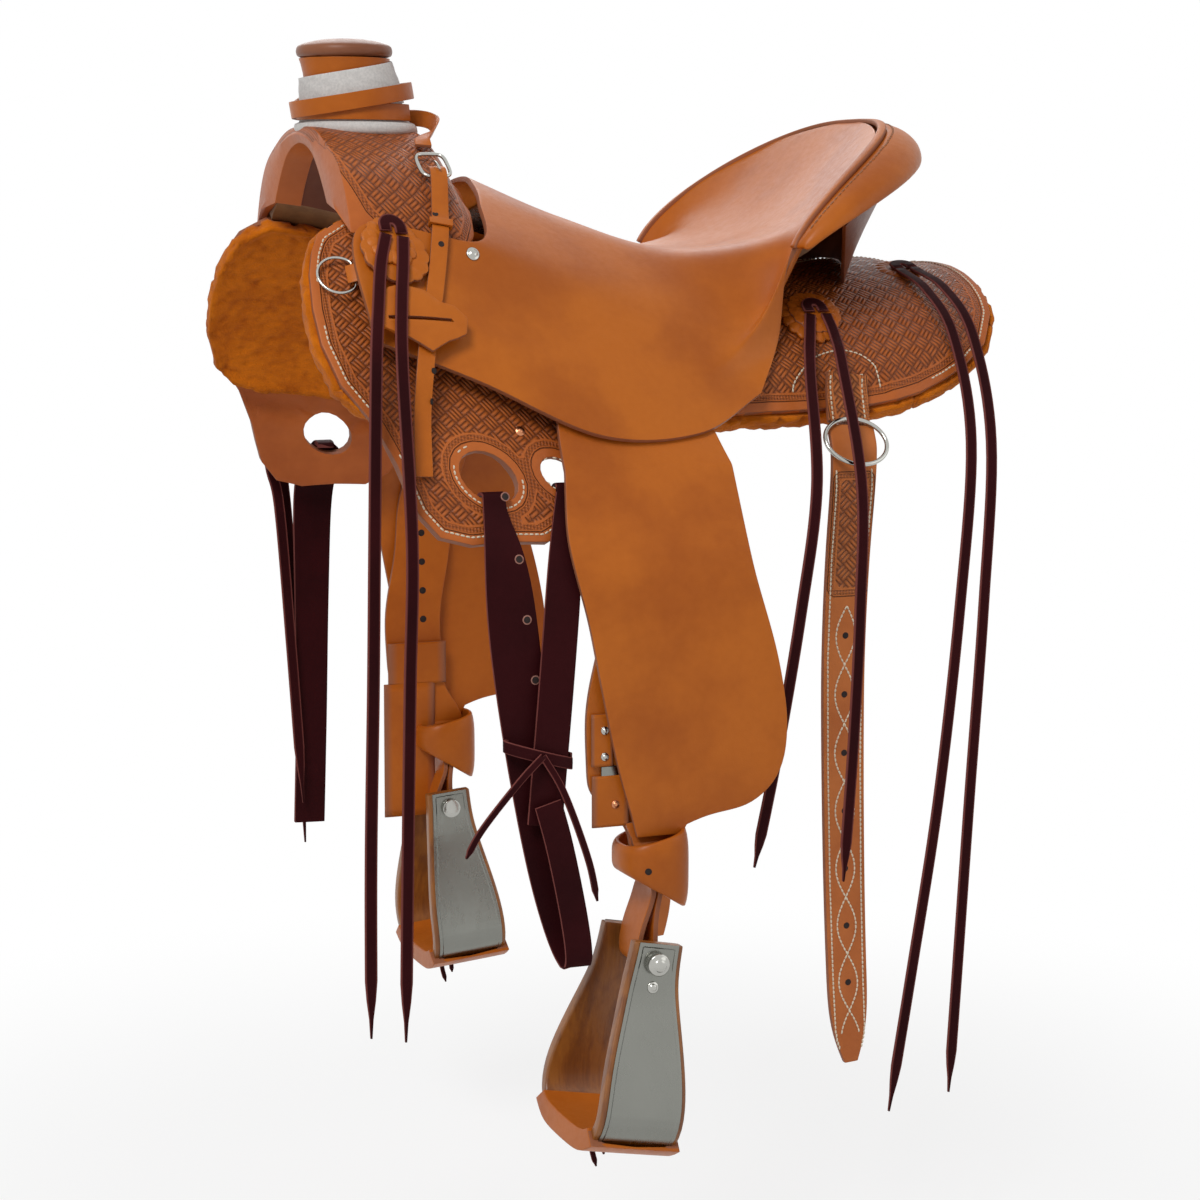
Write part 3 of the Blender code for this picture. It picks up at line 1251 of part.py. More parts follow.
def build_stirrup_leather(side, word, run, bolt, hinge):
    """Doubled leather from behind the fender, a quarter turn at the neck, round the bolt."""
    leg = STRAP_LEATHER / 2 + 0.0005
    turn_top, turn_low = 0.328, 0.384
    length = 0.320
    knots = [(0.0, -0.072), (0.12, -0.084), (0.22, -0.098), (0.275, -0.096), (0.320, -0.066)]
    centre = []
    for i in range(25):
        s = length * i / 24
        p, _ = along_run(run, s)
        centre.append(Vector((knot_value(knots, s), p.y, p.z)))
    end = centre[-1]
    reach = end.z - bolt.z - 0.0005
    for i in range(1, 25):
        f = i / 24
        y = end.y + (bolt.y - end.y) * smooth(f / 0.75)
        x = -0.066 + (BOLT_X + 0.066) * smooth((f - 0.35) / 0.60)
        centre.append(Vector((x, y, end.z - reach * f)))
    lengths = [0.0]
    for a, b in zip(centre, centre[1:]):
        lengths.append(lengths[-1] + (b - a).length)
    first, second, widths, stations = [], [], [], []
    for i, (p, s) in enumerate(zip(centre, lengths)):
        a = smooth((s - turn_top) / (turn_low - turn_top)) * pi / 2
        inward = smooth((s - 0.10) / 0.10)
        middle = p - Vector((0, side * leg, 0)) * inward * (1 - smooth((s - 0.33) / 0.05))
        d = (centre[min(i + 1, len(centre) - 1)] - centre[max(i - 1, 0)]).normalized()
        slope = d.y / d.z * (1 - smooth((s - 0.28) / 0.04))
        normal = Vector((-sin(a) * side, cos(a) * side, -slope * side)).normalized()
        wide = Vector((cos(a), sin(a), 0))
        opened = smooth((s - turn_low) / (0.95 * (lengths[-1] - turn_low)))
        spread = leg * inward + (BOLT_R + GAP + STRAP_LEATHER / 2 - leg) * opened
        size = 0.060 - 0.018 * smooth((s - 0.27) / 0.05)
        first.append((middle - normal * spread, wide, -normal, size))
        second.append((middle + normal * spread, wide, normal, size))
        if 0.326 < s < 0.386:
            stations.append((middle, wide, normal, size / 2 + 0.0010,
                             leg + STRAP_LEATHER / 2 + 0.0010))
    r = BOLT_R + GAP + STRAP_LEATHER / 2
    start = first[-1][0] - bolt
    a0 = atan2(start.z, start.x)
    stop = second[-1][0] - bolt
    a1 = atan2(stop.z, stop.x)
    if side == NEAR:
        while a1 < a0 + pi:
            a1 += 2 * pi
    else:
        while a1 > a0 - pi:
            a1 -= 2 * pi
    steps = 14
    eye = []
    for k in range(1, steps):
        a = a0 + (a1 - a0) * k / steps
        radial = Vector((cos(a), 0, sin(a)))
        eye.append((bolt + radial * r, Vector((0, 1, 0)), radial, first[-1][3]))
    split = next(i for i, s in enumerate(lengths) if s > 0.30)
    loops = []
    for p, wide, outward, size in first + eye + second[split:][::-1]:
        a, b = wide * size / 2, outward * STRAP_LEATHER / 2
        loops.append([p + a + b, p - a + b, p - a - b, p + a - b])
    ribbon(f"stirrup_leather_{word}", loops, "smooth_leather", hinge, len(first) + len(eye) - 1)
    sleeve(f"hobble_strap_{word}", stations, 0.0024, "smooth_leather")


STIRRUP_LINE = [(-0.0345, 0.0170), (-0.0345, 0.0000), (-0.0345, -0.0150),
                (-0.0358, -0.0250), (-0.0420, -0.0450), (-0.0520, -0.0760),
                (-0.0640, -0.1150), (-0.0665, -0.1350), (-0.0580, -0.1520), (-0.0400, -0.1590),
                (0.0, -0.1605)]
STIRRUP_TILT = {NEAR: 11.0, OFF: -5.0}


def build_stirrup(side, word, bolt):
    half = [Vector((0, y, z)) for y, z in STIRRUP_LINE]
    line = spline(half + [Vector((0, -p.y, p.z)) for p in half[-2::-1]], 97)
    length = sum((b - a).length for a, b in zip(line, line[1:]))
    tilt = Matrix.Rotation(radians(STIRRUP_TILT[side]), 3, "Y")
    bolt_s = half[0].z

    def depth(s):
        f = min(s, length - s) / 0.150
        return NECK_DEPTH + (TREAD_DEPTH - NECK_DEPTH) * smooth(f)

    def at(a, s, out):
        p, d = along_run(line, s)
        normal = Vector((0, d.z, -d.y))
        return bolt + tilt @ (p + normal * out + Vector((a, 0, 0)))

    steps = 30

    def frame(inset):
        left = [Vector((-depth(length * i / steps) / 2 + inset, length * i / steps))
                for i in range(steps + 1)]
        return left + [Vector((-p.x, p.y)) for p in left[::-1]]

    bore = BOLT_R + 0.0005
    holes = [circle_points(0, bolt_s, bore, bore, 16),
             circle_points(0, length - bolt_s, bore, bore, 16)]
    wall = STIRRUP_WALL
    bands = (0.020, length / steps)
    cut_sheet(f"stirrup_wood_{word}", frame(0.0), holes,
              lambda a, s, k: at(a, s, wall * (k - 0.5)), "stirrup_wood", bands, origin=bolt)
    cut_sheet(f"stirrup_binding_{word}", frame(0.0045), holes,
              lambda a, s, k: at(a, s, wall / 2 + GAP + BINDING * k), "plated_metal", bands,
              origin=bolt)
    neck = -half[1].y
    outer = neck + wall / 2 + GAP + BINDING + GAP
    profile = [(0.0, -outer - 0.0048), (0.0055, -outer - 0.0044), (0.0094, -outer - 0.0022),
               (0.0098, -outer), (BOLT_R, -outer), (BOLT_R, outer), (0.0098, outer),
               (0.0098, outer + 0.0044), (0.0060, outer + 0.0050), (0.0, outer + 0.0050)]
    bm = bmesh.new()
    turned(bm, profile, 16)
    spin = Matrix.Rotation(radians(90.0), 3, "X")
    bmesh.ops.transform(bm, matrix=(tilt @ spin).to_4x4(), verts=bm.verts)
    bmesh.ops.translate(bm, verts=bm.verts, vec=bolt)
    finish(f"stirrup_bolt_{word}", bm, "plated_metal", origin=bolt)
    stations = []
    for i in range(11, steps - 10):
        s = length * i / steps
        p, d = along_run(line, s)
        normal = Vector((0, d.z, -d.y))
        mid = p + normal * (BINDING + GAP) / 2
        stations.append((bolt + tilt @ mid, tilt @ Vector((1, 0, 0)), tilt @ normal,
                         depth(s) / 2 + GAP, wall / 2 + (BINDING + GAP) / 2 + 2 * GAP))
    sleeve(f"stirrup_tread_{word}", stations, 0.0028, "smooth_leather")


for old in list(bpy.data.objects):
    bpy.data.objects.remove(old)
PARTS = collection("wade_saddle")
build_tree()
build_fork_leather()
build_horn()
build_seat()
build_skirts()
build_rosettes()
build_carrier()
build_front_dees()
build_flank_rigging()
build_leathers()
build_latigos()
build_strings()
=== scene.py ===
# %% [markdown]
# A wade saddle, dressed leather by leather around its measured model. The model gives
# every piece its place, its size and the body it moves with; these cells give each one
# its soft edges, its stitches, its tooling and its finish.
# Everything is in metres. The horse's head is towards -X, the rider's left is -Y, up is +Z.

# %% Start from the measured model
import json
import math
import bpy
import bmesh
import numpy as np
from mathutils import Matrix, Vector
from mathutils.bvhtree import BVHTree


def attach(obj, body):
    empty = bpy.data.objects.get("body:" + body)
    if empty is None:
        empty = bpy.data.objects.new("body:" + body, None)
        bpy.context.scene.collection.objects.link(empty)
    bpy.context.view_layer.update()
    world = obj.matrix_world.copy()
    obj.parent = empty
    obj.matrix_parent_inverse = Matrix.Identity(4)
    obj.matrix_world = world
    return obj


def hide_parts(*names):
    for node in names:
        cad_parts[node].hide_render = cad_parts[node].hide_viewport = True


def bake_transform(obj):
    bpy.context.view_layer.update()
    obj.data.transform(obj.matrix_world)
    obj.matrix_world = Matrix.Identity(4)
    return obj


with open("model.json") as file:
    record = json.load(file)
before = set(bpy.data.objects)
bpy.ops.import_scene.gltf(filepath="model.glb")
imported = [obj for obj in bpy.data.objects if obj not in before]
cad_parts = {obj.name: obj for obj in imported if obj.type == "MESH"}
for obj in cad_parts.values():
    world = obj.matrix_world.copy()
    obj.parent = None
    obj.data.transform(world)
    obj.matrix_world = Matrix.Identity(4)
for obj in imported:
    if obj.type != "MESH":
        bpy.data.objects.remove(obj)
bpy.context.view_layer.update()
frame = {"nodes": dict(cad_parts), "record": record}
RECORD = frame["record"]
BODY = {n: b for b, nodes in RECORD["behaviour"]["bodies"].items() for n in nodes}
SLOT = {s["node"]: s["material_slot"] for s in RECORD["subparts"]}
SIDES = ((-1, "left"), (1, "right"))

# %% [markdown]
# The camera comes first. It stands a little ahead of the near stirrup, at the height of
# the seat, and looks slightly down, as the photographer did. The lens is long, so that
# straps which hang plumb stay nearly upright in the picture.

# %% The camera
AIM = Vector((0.0, 0.0, -0.2311))
eye = bpy.data.objects.new("camera", bpy.data.cameras.new("camera"))
bpy.context.scene.collection.objects.link(eye)
eye.location = (-0.9426, -2.3929, 0.1500)
eye.rotation_euler = (AIM - eye.location).to_track_quat("-Z", "Y").to_euler()
eye.data.lens = 81.0
eye.data.sensor_width = 36.0
bpy.context.scene.camera = eye
print("camera", round((AIM - eye.location).length, 3), "m from the saddle")

# %% [markdown]
# Saddle leather is cut flat and then moulded over the tree. The same idea places it
# here: a point is x along the horse, t down from the spine and h above a smooth drape
# surface, which is a tight arc over the spine that runs into a flatter arc down the side.

# %% The drape that all the laid leather follows
FRONT_X, BACK_X, REAR_X = -0.340, 0.120, 0.360
WITHERS_Z, BACK_Z, LOIN_RISE = 0.185, 0.062, 0.012
RIDGE_R0, RIDGE_R1, FLANK_R = 0.130, 0.200, 0.750
EDGE = math.radians(48.0)


def ease(a):
    """Half a cosine wave from 0 to 1."""
    return 0.5 - 0.5 * np.cos(np.pi * np.clip(a, 0.0, 1.0))


def ridge(x):
    """Height and radius of the arc over the spine, both eased from withers to loin."""
    s = ease((x - FRONT_X) / (BACK_X - FRONT_X))
    past = np.maximum(x - BACK_X, 0.0) / (REAR_X - BACK_X)
    z = WITHERS_Z + (BACK_Z - WITHERS_Z) * s + LOIN_RISE * past ** 2
    return z, RIDGE_R0 + (RIDGE_R1 - RIDGE_R0) * s


def lay(x, t, h, side=1):
    """Point at x, t and h: on the spine's arc up to its end angle, on the flank's arc after."""
    x, t, h = np.broadcast_arrays(*(np.asarray(a, float) for a in (x, t, h)))
    top, r = ridge(x)
    turn = EDGE + (t - r * EDGE) / FLANK_R
    near = t <= r * EDGE
    y = np.where(near, (r + h) * np.sin(t / r),
                 (r - FLANK_R) * math.sin(EDGE) + (FLANK_R + h) * np.sin(turn))
    z = top - r + np.where(near, (r + h) * np.cos(t / r),
                           (r - FLANK_R) * math.cos(EDGE) + (FLANK_R + h) * np.cos(turn))
    return np.stack([x, y * side, z], -1)


def unlay(points):
    """The x, t and h of points: the angle round whichever arc they lie over, back to a length."""
    x, y, z = points[:, 0], np.abs(points[:, 1]), points[:, 2]
    top, r = ridge(x)
    angle = np.arctan2(y, z - top + r)
    cy = (r - FLANK_R) * math.sin(EDGE)
    cz = top - r + (r - FLANK_R) * math.cos(EDGE)
    turn = np.arctan2(y - cy, z - cz)
    near = angle <= EDGE
    t = np.where(near, r * angle, r * EDGE + (turn - EDGE) * FLANK_R)
    h = np.where(near, np.hypot(y, z - top + r) - r, np.hypot(y - cy, z - cz) - FLANK_R)
    return np.stack([x, t, h], -1)


probe = np.array([[0.1, 0.2, 0.01], [-0.2, 0.1, 0.03]])
print("drape there and back again", np.abs(unlay(lay(*probe.T)) - probe).max() < 1e-9)

# %% [markdown]
# A finish is a small network of nodes. Writing it as Python sums keeps it readable, so
# one class wraps a socket and turns the usual signs into Math nodes, and another
# starts a material and adds any node with its settings first and its values after.

# %% Shader sums written as Python


class Wire:
    """A socket of a finish; sums on it add Math nodes."""

    def __init__(self, look, socket):
        self.look, self.socket = look, socket

    def sum(self, operation, first, second=0.0):
        """One Math node with two inputs."""
        return self.look.node("ShaderNodeMath", {"operation": operation}, {0: first, 1: second})

    def __add__(self, other): return self.sum("ADD", self, other)
    def __radd__(self, other): return self.sum("ADD", other, self)
    def __sub__(self, other): return self.sum("SUBTRACT", self, other)
    def __rsub__(self, other): return self.sum("SUBTRACT", other, self)
    def __mul__(self, other): return self.sum("MULTIPLY", self, other)
    def __rmul__(self, other): return self.sum("MULTIPLY", other, self)
    def __truediv__(self, other): return self.sum("DIVIDE", self, other)
    def __pow__(self, other): return self.sum("POWER", self, other)
    def floor(self): return self.sum("FLOOR", self)
    def part(self): return self.sum("FRACT", self)
    def size(self): return self.sum("ABSOLUTE", self)
    def sine(self): return self.sum("SINE", self)
    def least(self, other): return self.sum("MINIMUM", self, other)

    def step(self, low, high, start=0.0, end=1.0):
        """Smooth climb from start to end as the value goes from low to high."""
        return self.look.node("ShaderNodeMapRange", {"interpolation_type": "SMOOTHSTEP"},
                              {"Value": self, "From Min": low, "From Max": high,
                               "To Min": start, "To Max": end})


class Look:
    """A Principled material under construction."""

    def __init__(self, name, **sockets):
        self.material = bpy.data.materials.new(name)
        self.material.use_nodes = True
        self.tree = self.material.node_tree
        self.shader = self.tree.nodes["Principled BSDF"]
        for key, value in sockets.items():
            self.shader.inputs[key.replace("_", " ")].default_value = value

    def node(self, kind, settings=None, values=None, out=0):
        """Any node: its settings first, then the values or links of its sockets."""
        made = self.tree.nodes.new(kind)
        for key, value in (settings or {}).items():
            setattr(made, key, value)
        for key, value in (values or {}).items():
            if isinstance(value, Wire):
                self.tree.links.new(value.socket, made.inputs[key])
            else:
                made.inputs[key].default_value = value
        return Wire(self, made.outputs[out])

    def feed(self, socket, wire):
        """Link a sum to a socket of the Principled shader."""
        self.tree.links.new(wire.socket, self.shader.inputs[socket])

    def place(self):
        """Where a point lies on the piece, in metres."""
        return self.node("ShaderNodeTexCoord", out="Object")

    def cut(self):
        """The two flat pattern coordinates of a piece, in metres."""
        both = self.node("ShaderNodeUVMap", {"uv_map": "cut"})
        return [self.node("ShaderNodeSeparateXYZ", None, {0: both}, out=k) for k in (0, 1)]

    def value(self, name):
        """A number that each point of the piece carries."""
        return self.node("ShaderNodeAttribute", {"attribute_name": name}, out="Fac")

    def mix(self, mask, below, above):
        """Colour below where the mask is 0 and above where it is 1."""
        ends = {}
        for key, colour in ((6, below), (7, above)):
            ends[key] = colour if isinstance(colour, Wire) else (*colour, 1.0)
        return self.node("ShaderNodeMix", {"data_type": "RGBA"}, {0: mask, **ends}, out=2)

    def noise(self, scale, detail=2.0, rough=0.5, stretch=None):
        """Soft noise; a small number in stretch draws it out along that axis."""
        at = self.place()
        if stretch:
            at = self.node("ShaderNodeMapping", None, {0: at, "Scale": stretch})
        return self.node("ShaderNodeTexNoise", None,
                         {"Vector": at, "Scale": scale, "Detail": detail, "Roughness": rough})

    def pebbles(self, scale):
        """Smooth round cells, each darkest in its middle."""
        return self.node("ShaderNodeTexVoronoi", {"feature": "SMOOTH_F1"},
                         {"Vector": self.place(), "Scale": scale})

    def relief(self, height, depth, under=None):
        """Bump of a height that counts for depth metres, laid over another bump if there is one."""
        values = {"Height": height, "Distance": depth, "Strength": 1.0}
        if under:
            values["Normal"] = under
        made = self.node("ShaderNodeBump", None, values)
        self.feed("Normal", made)
        return made


print("finishes can be written as sums")

# %% [markdown]
# Leather takes its look from few things: a body colour that oil has darkened unevenly,
# a pebble grain under a millimetre across, long faint stretch wrinkles, cut edges that
# show a paler and pinker inside, and a waxed shine that the wrinkles break up.
# Basket tooling is a stamp struck again and again along slanted rows, so its relief is
# a chequer of ribbed cells, turned half a right angle.

# %% Leather finishes
BASKET = 0.0112
CUT_EDGE = (0.30, 0.115, 0.062)
HALF_TURN = 0.7071 / BASKET    # turns the cells by half a right angle and counts them
PANEL_START = 0.0155           # how far inside the cut edge a tooled panel starts
BEAD_WIDE = 0.0060             # the bead line runs this wide outside the panel
GROOVE_OUT = 0.0072            # and a cut groove this far outside it
GRAIN_DEEP, TOOLED_DEEP = 0.00012, 0.0014
TAN = (0.560, 0.146)           # red and green of the tan leathers; their blue sets how warm they are
DARK_EDGE = (0.13, 0.04, 0.02)


def basket(look):
    """Relief of woven cells: ribs along one slant or the other, by the chequer they lie in."""
    u, v = look.cut()
    p, q = (u + v) * HALF_TURN, (u - v) * HALF_TURN
    chequer = ((p.floor() + q.floor()) * 0.5).part() * 2.0
    fp, fq = p.part(), q.part()
    across_p = (fp * (3.0 * math.pi)).sine().size() ** 0.8 * (fq * math.pi).sine() ** 0.6
    across_q = (fq * (3.0 * math.pi)).sine().size() ** 0.8 * (fp * math.pi).sine() ** 0.6
    return across_p * (1.0 - chequer) + across_q * chequer


def tooling(look):
    """How far each point is pressed down, from 0 to a little over 1.

    A step in the distance from the cut edge starts the basket panel, two more bound the
    line of beads, whose rows are a sum of sines, and a narrow dip is the cut groove.
    """
    inset, (u, v) = look.value("inset"), look.cut()
    panel = inset.step(PANEL_START, PANEL_START + 0.0012)
    line = (inset.step(PANEL_START - BEAD_WIDE, PANEL_START - BEAD_WIDE + 0.0008)
            * inset.step(PANEL_START - 0.0012, PANEL_START - 0.0020))
    bead = (((u * 2100.0).sine() + (v * 2100.0).sine()) * 0.25 + 0.5) * line
    groove = 1.0 - (inset - (PANEL_START - GROOVE_OUT)).size().step(0.0, 0.0007)
    return panel * (1.0 - basket(look)) + line * (1.0 - bead) * 0.8 + groove


def leather(name, colour, deep, rough=0.42, coat=0.10, spec=0.20, tooled=False, rim=CUT_EDGE):
    """Leather with oil mottling, grain and wrinkles, and tooled with a basket panel or not."""
    look = Look(name, Coat_Weight=coat, Coat_Roughness=0.28, Specular_IOR_Level=spec)
    mottle = look.noise(9.0, 4.0, 0.55).step(0.36, 0.68)
    speck = look.noise(150.0, 3.0, 0.6)
    base = look.mix(mottle * 0.55 + speck * 0.22, colour, deep)
    wrinkle = look.noise(60.0, 5.0, 0.62, stretch=(1.0, 1.0, 2.2))
    height, depth = look.pebbles(1300.0) * 0.6 + wrinkle * 1.6, GRAIN_DEEP
    if tooled:
        pressed = tooling(look)
        base = look.mix(pressed.least(1.0) * 0.95, base, tuple(0.34 * c for c in deep))
        height, depth = height * 0.13 + (1.0 - pressed), TOOLED_DEEP
    base = look.mix(look.value("rim") * 0.85, base, rim)
    look.feed("Base Color", base)
    look.feed("Roughness", rough + (speck - 0.5) * 0.25 + look.value("rim") * 0.25)
    look.relief(height, depth)
    return look.material


FINISH = {
    "smooth": leather("smooth_leather", (*TAN, 0.010), (0.330, 0.068, 0.004)),
    "fender": leather("fender_leather", (*TAN, 0.012), (0.320, 0.064, 0.004)),
    "tooled": leather("tooled_leather", (*TAN, 0.028), (0.340, 0.072, 0.012), tooled=True),
    "billet": leather("billet_leather", (0.620, 0.190, 0.045), (0.380, 0.092, 0.020), tooled=True),
    "dark": leather("dark_leather", (0.190, 0.042, 0.009), (0.095, 0.018, 0.003), rim=DARK_EDGE),
    "cap": leather("cap_leather", (0.290, 0.110, 0.052), (0.170, 0.056, 0.026), rim=DARK_EDGE),
    "latigo": leather("latigo_leather", (0.036, 0.0040, 0.0052), (0.014, 0.0016, 0.0022), rough=0.55,
                      coat=0.0, spec=0.06, rim=(0.240, 0.070, 0.060)),
}
print("leathers:", ", ".join(FINISH))

# %% [markdown]
# The rest of the finishes: satin metal with a faint brushed drag, copper rivets, cream
# waxed thread with a twist, pale suede round the horn, oiled wood with its rings, the
# tree's rawhide over wood, and fleece, whose wool is gold and turns brown in random
# patches and, as painted shade, in the gaps between its clumps.

# %% Metal, thread, suede, wood and wool


def metal(name, colour, rough, drag=0.0, border=None):
    """Satin metal; border gives how wide its raised rim is, by the distance from its cut edge."""
    look = Look(name, Metallic=1.0)
    cloud = look.noise(22.0, 3.0, 0.55)
    streak = look.noise(240.0, 2.0, 0.5, stretch=(1.0, 1.0, 0.06))
    look.feed("Base Color", look.mix(cloud * 0.5, colour, tuple(0.72 * c for c in colour)))
    look.feed("Roughness", rough + (cloud - 0.5) * 0.16 + (streak - 0.5) * drag)
    under = look.relief(streak + cloud, 0.00004)
    if border:
        look.relief(look.value("inset").step(border, border + 0.0012, 1.0, 0.0), 0.0009, under)
    return look.material


def plain(name, colour, deep, rough, scale, depth, stretch=None, **sockets):
    """Two colours over a stretched noise, which also gives the relief."""
    look = Look(name, **sockets)
    fine = look.noise(scale, 4.0, 0.6, stretch=stretch)
    broad = look.noise(scale * 0.06, 3.0, 0.5)
    look.feed("Base Color", look.mix(fine.step(0.3, 0.7) * 0.7 + broad * 0.3, colour, deep))
    look.feed("Roughness", rough + (fine - 0.5) * 0.2)
    look.relief(fine, depth)
    return look.material


def grained_wood(name, colour, deep):
    """Two noises drawn out along the stirrup's height: broad rings, and fine pores between them."""
    look = Look(name, Coat_Weight=0.25, Coat_Roughness=0.25)
    rings = look.noise(70.0, 4.0, 0.6, stretch=(1.0, 1.0, 0.10)).step(0.38, 0.62)
    pores = look.noise(420.0, 2.0, 0.6, stretch=(1.0, 1.0, 0.05))
    look.feed("Base Color", look.mix(rings * 0.6 + pores * 0.4, colour, deep))
    look.feed("Roughness", 0.34 + pores * 0.2)
    look.relief(rings * 0.6 + pores, 0.00015)
    return look.material


def wool(name, tip, dark_tone_and_gap_shade):
    """Curled fibres in patches: the darker colour comes in random patches and, as painted shade, in the gaps
    between the clumps, marked deep.
    """
    look = Look(name, Sheen_Weight=0.12, Sheen_Roughness=0.5, Specular_IOR_Level=0.1)
    curl = look.noise(520.0, 4.0, 0.7)
    patch = look.noise(26.0, 4.0, 0.6)
    deep = look.value("deep")
    # Where deep is high, in the gaps between the clumps, the darker colour is painted shade; curl and patch
    # vary it at random.
    shade = (curl * 0.45 + patch.step(0.35, 0.7) * 0.35 + deep * 0.45).least(1.0)
    look.feed("Base Color", look.mix(shade, tip, dark_tone_and_gap_shade))
    look.feed("Roughness", 0.85 + (curl - 0.5) * 0.2)
    look.relief(curl + patch * 0.4, 0.0012)
    return look.material


FINISH.update({
    "metal": metal("nickel", (0.260, 0.262, 0.236), 0.26, 0.14, border=0.0030),
    "bright": metal("bright_nickel", (0.48, 0.475, 0.44), 0.16),
    "copper": metal("copper", (0.62, 0.26, 0.13), 0.30),
    "thread": plain("waxed_thread", (0.86, 0.78, 0.62), (0.66, 0.54, 0.38), 0.6, 900.0, 0.0001),
    "brown_thread": plain("brown_thread", (0.36, 0.14, 0.05), (0.22, 0.08, 0.03), 0.6, 900.0, 0.0001),
    "suede": plain("mulehide", (0.72, 0.69, 0.66), (0.56, 0.54, 0.52), 0.9, 420.0, 0.0003,
                   Sheen_Weight=0.4),
    "rawhide": plain("rawhide", (0.26, 0.125, 0.045), (0.16, 0.070, 0.024), 0.55, 60.0, 0.0004),
    # The punched hole's near-black colour is painted shade, standing for the dark inside of a hole that is
    # not cut.
    "hole": plain("painted_hole_shade", (0.020, 0.009, 0.007), (0.010, 0.005, 0.004), 0.9, 300.0, 0.0002),
    "cut": plain("cut_leather", (0.42, 0.20, 0.15), (0.30, 0.12, 0.09), 0.8, 500.0, 0.0002),
    "wood": grained_wood("stirrup_wood", (0.360, 0.125, 0.016), (0.150, 0.040, 0.005)),
    "wool": wool("fleece", (0.88, 0.235, 0.004), (0.36, 0.066, 0.001)),
})
print("finishes:", len(FINISH))

# %% [markdown]
# Most pieces already have their true shape in the model, but as few flat triangles. The
# dressed piece is a copy with its triangles joined, its corners rounded by a small bevel
# as a maker rounds a cut edge, and its faces subdivided. A ray sent inwards from each
# face tells a cut edge from a broad face: across the sheet it is a few millimetres to
# the other side, along the sheet it is far. That is kept as the attribute "rim".

# %% Dressing a node
RIM_DEPTH = 0.013      # a ray that goes further than this runs along the sheet, not across it
RAY_START = 1e-5       # and it starts this far under the face
SAME_POINT = 2e-5
ROUND_ANGLE = 38       # edges that turn more than so many degrees are rounded


def floats(mesh, name, values, domain="POINT"):
    """Give each point, or each face, a number under that name."""
    spot = mesh.attributes.get(name) or mesh.attributes.new(name, "FLOAT", domain)
    spot.data.foreach_set("value", np.ascontiguousarray(values, np.float32))


def whole_numbers(items, name):
    """One whole number of every face or face corner, as an array."""
    out = np.zeros(len(items), np.int32)
    items.foreach_get(name, out)
    return out


def cut_map(mesh, flat):
    """UV map "cut": each corner gets its point's two flat coordinates."""
    corner = whole_numbers(mesh.loops, "vertex_index")
    layer = mesh.uv_layers.get("cut") or mesh.uv_layers.new(name="cut")
    layer.data.foreach_set("uv", np.ascontiguousarray(flat[corner], np.float32).ravel())


def points_of(mesh, what="co"):
    """Every point's place, or with "normal" its direction outwards, as rows of three."""
    out = np.zeros(len(mesh.vertices) * 3, np.float32)
    mesh.vertices.foreach_get(what, out)
    return out.reshape(-1, 3).astype(float)


def move_points(mesh, spots):
    """Put every point of the mesh at its row of three."""
    mesh.vertices.foreach_set("co", spots.astype(np.float32).ravel())


def closed_mesh(name, spots, faces):
    """A mesh from an array of points and its faces, all of them turned outwards."""
    mesh = bpy.data.meshes.new(name)
    mesh.from_pydata(np.reshape(spots, (-1, 3)).tolist(), [], faces)
    bm = bmesh.new()
    bm.from_mesh(mesh)
    bmesh.ops.recalc_face_normals(bm, faces=bm.faces)
    bm.to_mesh(mesh)
    bm.free()
    return mesh


def show(mesh, name, finish, body, slot, stands_for=()):
    """Put a finished mesh in the scene on its body; a tuple of two bodies leaves it where it is, on no body.
    """
    mesh.materials.clear()
    mesh.materials.append(FINISH[finish])
    mesh.shade_smooth()
    piece = bpy.data.objects.new(name, mesh)
    bpy.context.scene.collection.objects.link(piece)
    if isinstance(body, tuple):
        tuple(body[2])
        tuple(body[3])
        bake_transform(piece)
    else:
        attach(piece, body)
    if stands_for:
        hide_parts(*stands_for)
    return piece


def merged(node):
    """The node's loose triangles with their shared corners merged."""
    bm = bmesh.new()
    bm.from_mesh(frame["nodes"][node].data)
    bmesh.ops.remove_doubles(bm, verts=bm.verts, dist=SAME_POINT)
    bm.normal_update()
    return bm


def mark_cut_edges(bm):
    """Number each face 1 where a ray straight in from it goes far, and 0 where it soon comes out."""
    tree = BVHTree.FromBMesh(bm)
    for face in bm.faces:
        start = face.calc_center_median() - face.normal * RAY_START
        far = tree.ray_cast(start, -face.normal)[3]
        face.material_index = int(far is not None and far > RIM_DEPTH)
    return bm


def paired(bm):
    """Pair triangles back into four-sided faces, cut edges and broad faces apart."""
    bmesh.ops.join_triangles(bm, faces=bm.faces, angle_face_threshold=0.7,
                             angle_shape_threshold=0.9, cmp_materials=True)


def marked_mesh(bm, name, thin=True):
    """The mesh with its cut edges kept as "rim", or with none where the piece isn't a thin sheet."""
    mesh = bpy.data.meshes.new(name)
    bm.to_mesh(mesh)
    bm.free()
    index = whole_numbers(mesh.polygons, "material_index")
    floats(mesh, "rim", index * float(thin), "FACE")
    mesh.polygons.foreach_set("material_index", np.zeros(len(index), np.int32))
    floats(mesh, "inset", np.zeros(len(mesh.vertices)))
    cut_map(mesh, points_of(mesh)[:, [0, 2]])
    return mesh


def rounded(piece, width, degrees=ROUND_ANGLE):
    """Round the piece's sharp edges by a small bevel, as a maker rounds a cut edge."""
    bevel = piece.modifiers.new("rounded", "BEVEL")
    bevel.width, bevel.segments = width, 2
    bevel.limit_method, bevel.angle_limit = "ANGLE", math.radians(degrees)


def divided(piece, levels):
    """Divide the piece's faces and smooth them, the same in the view and in the picture."""
    finer = piece.modifiers.new("finer", "SUBSURF")
    finer.levels = finer.render_levels = levels


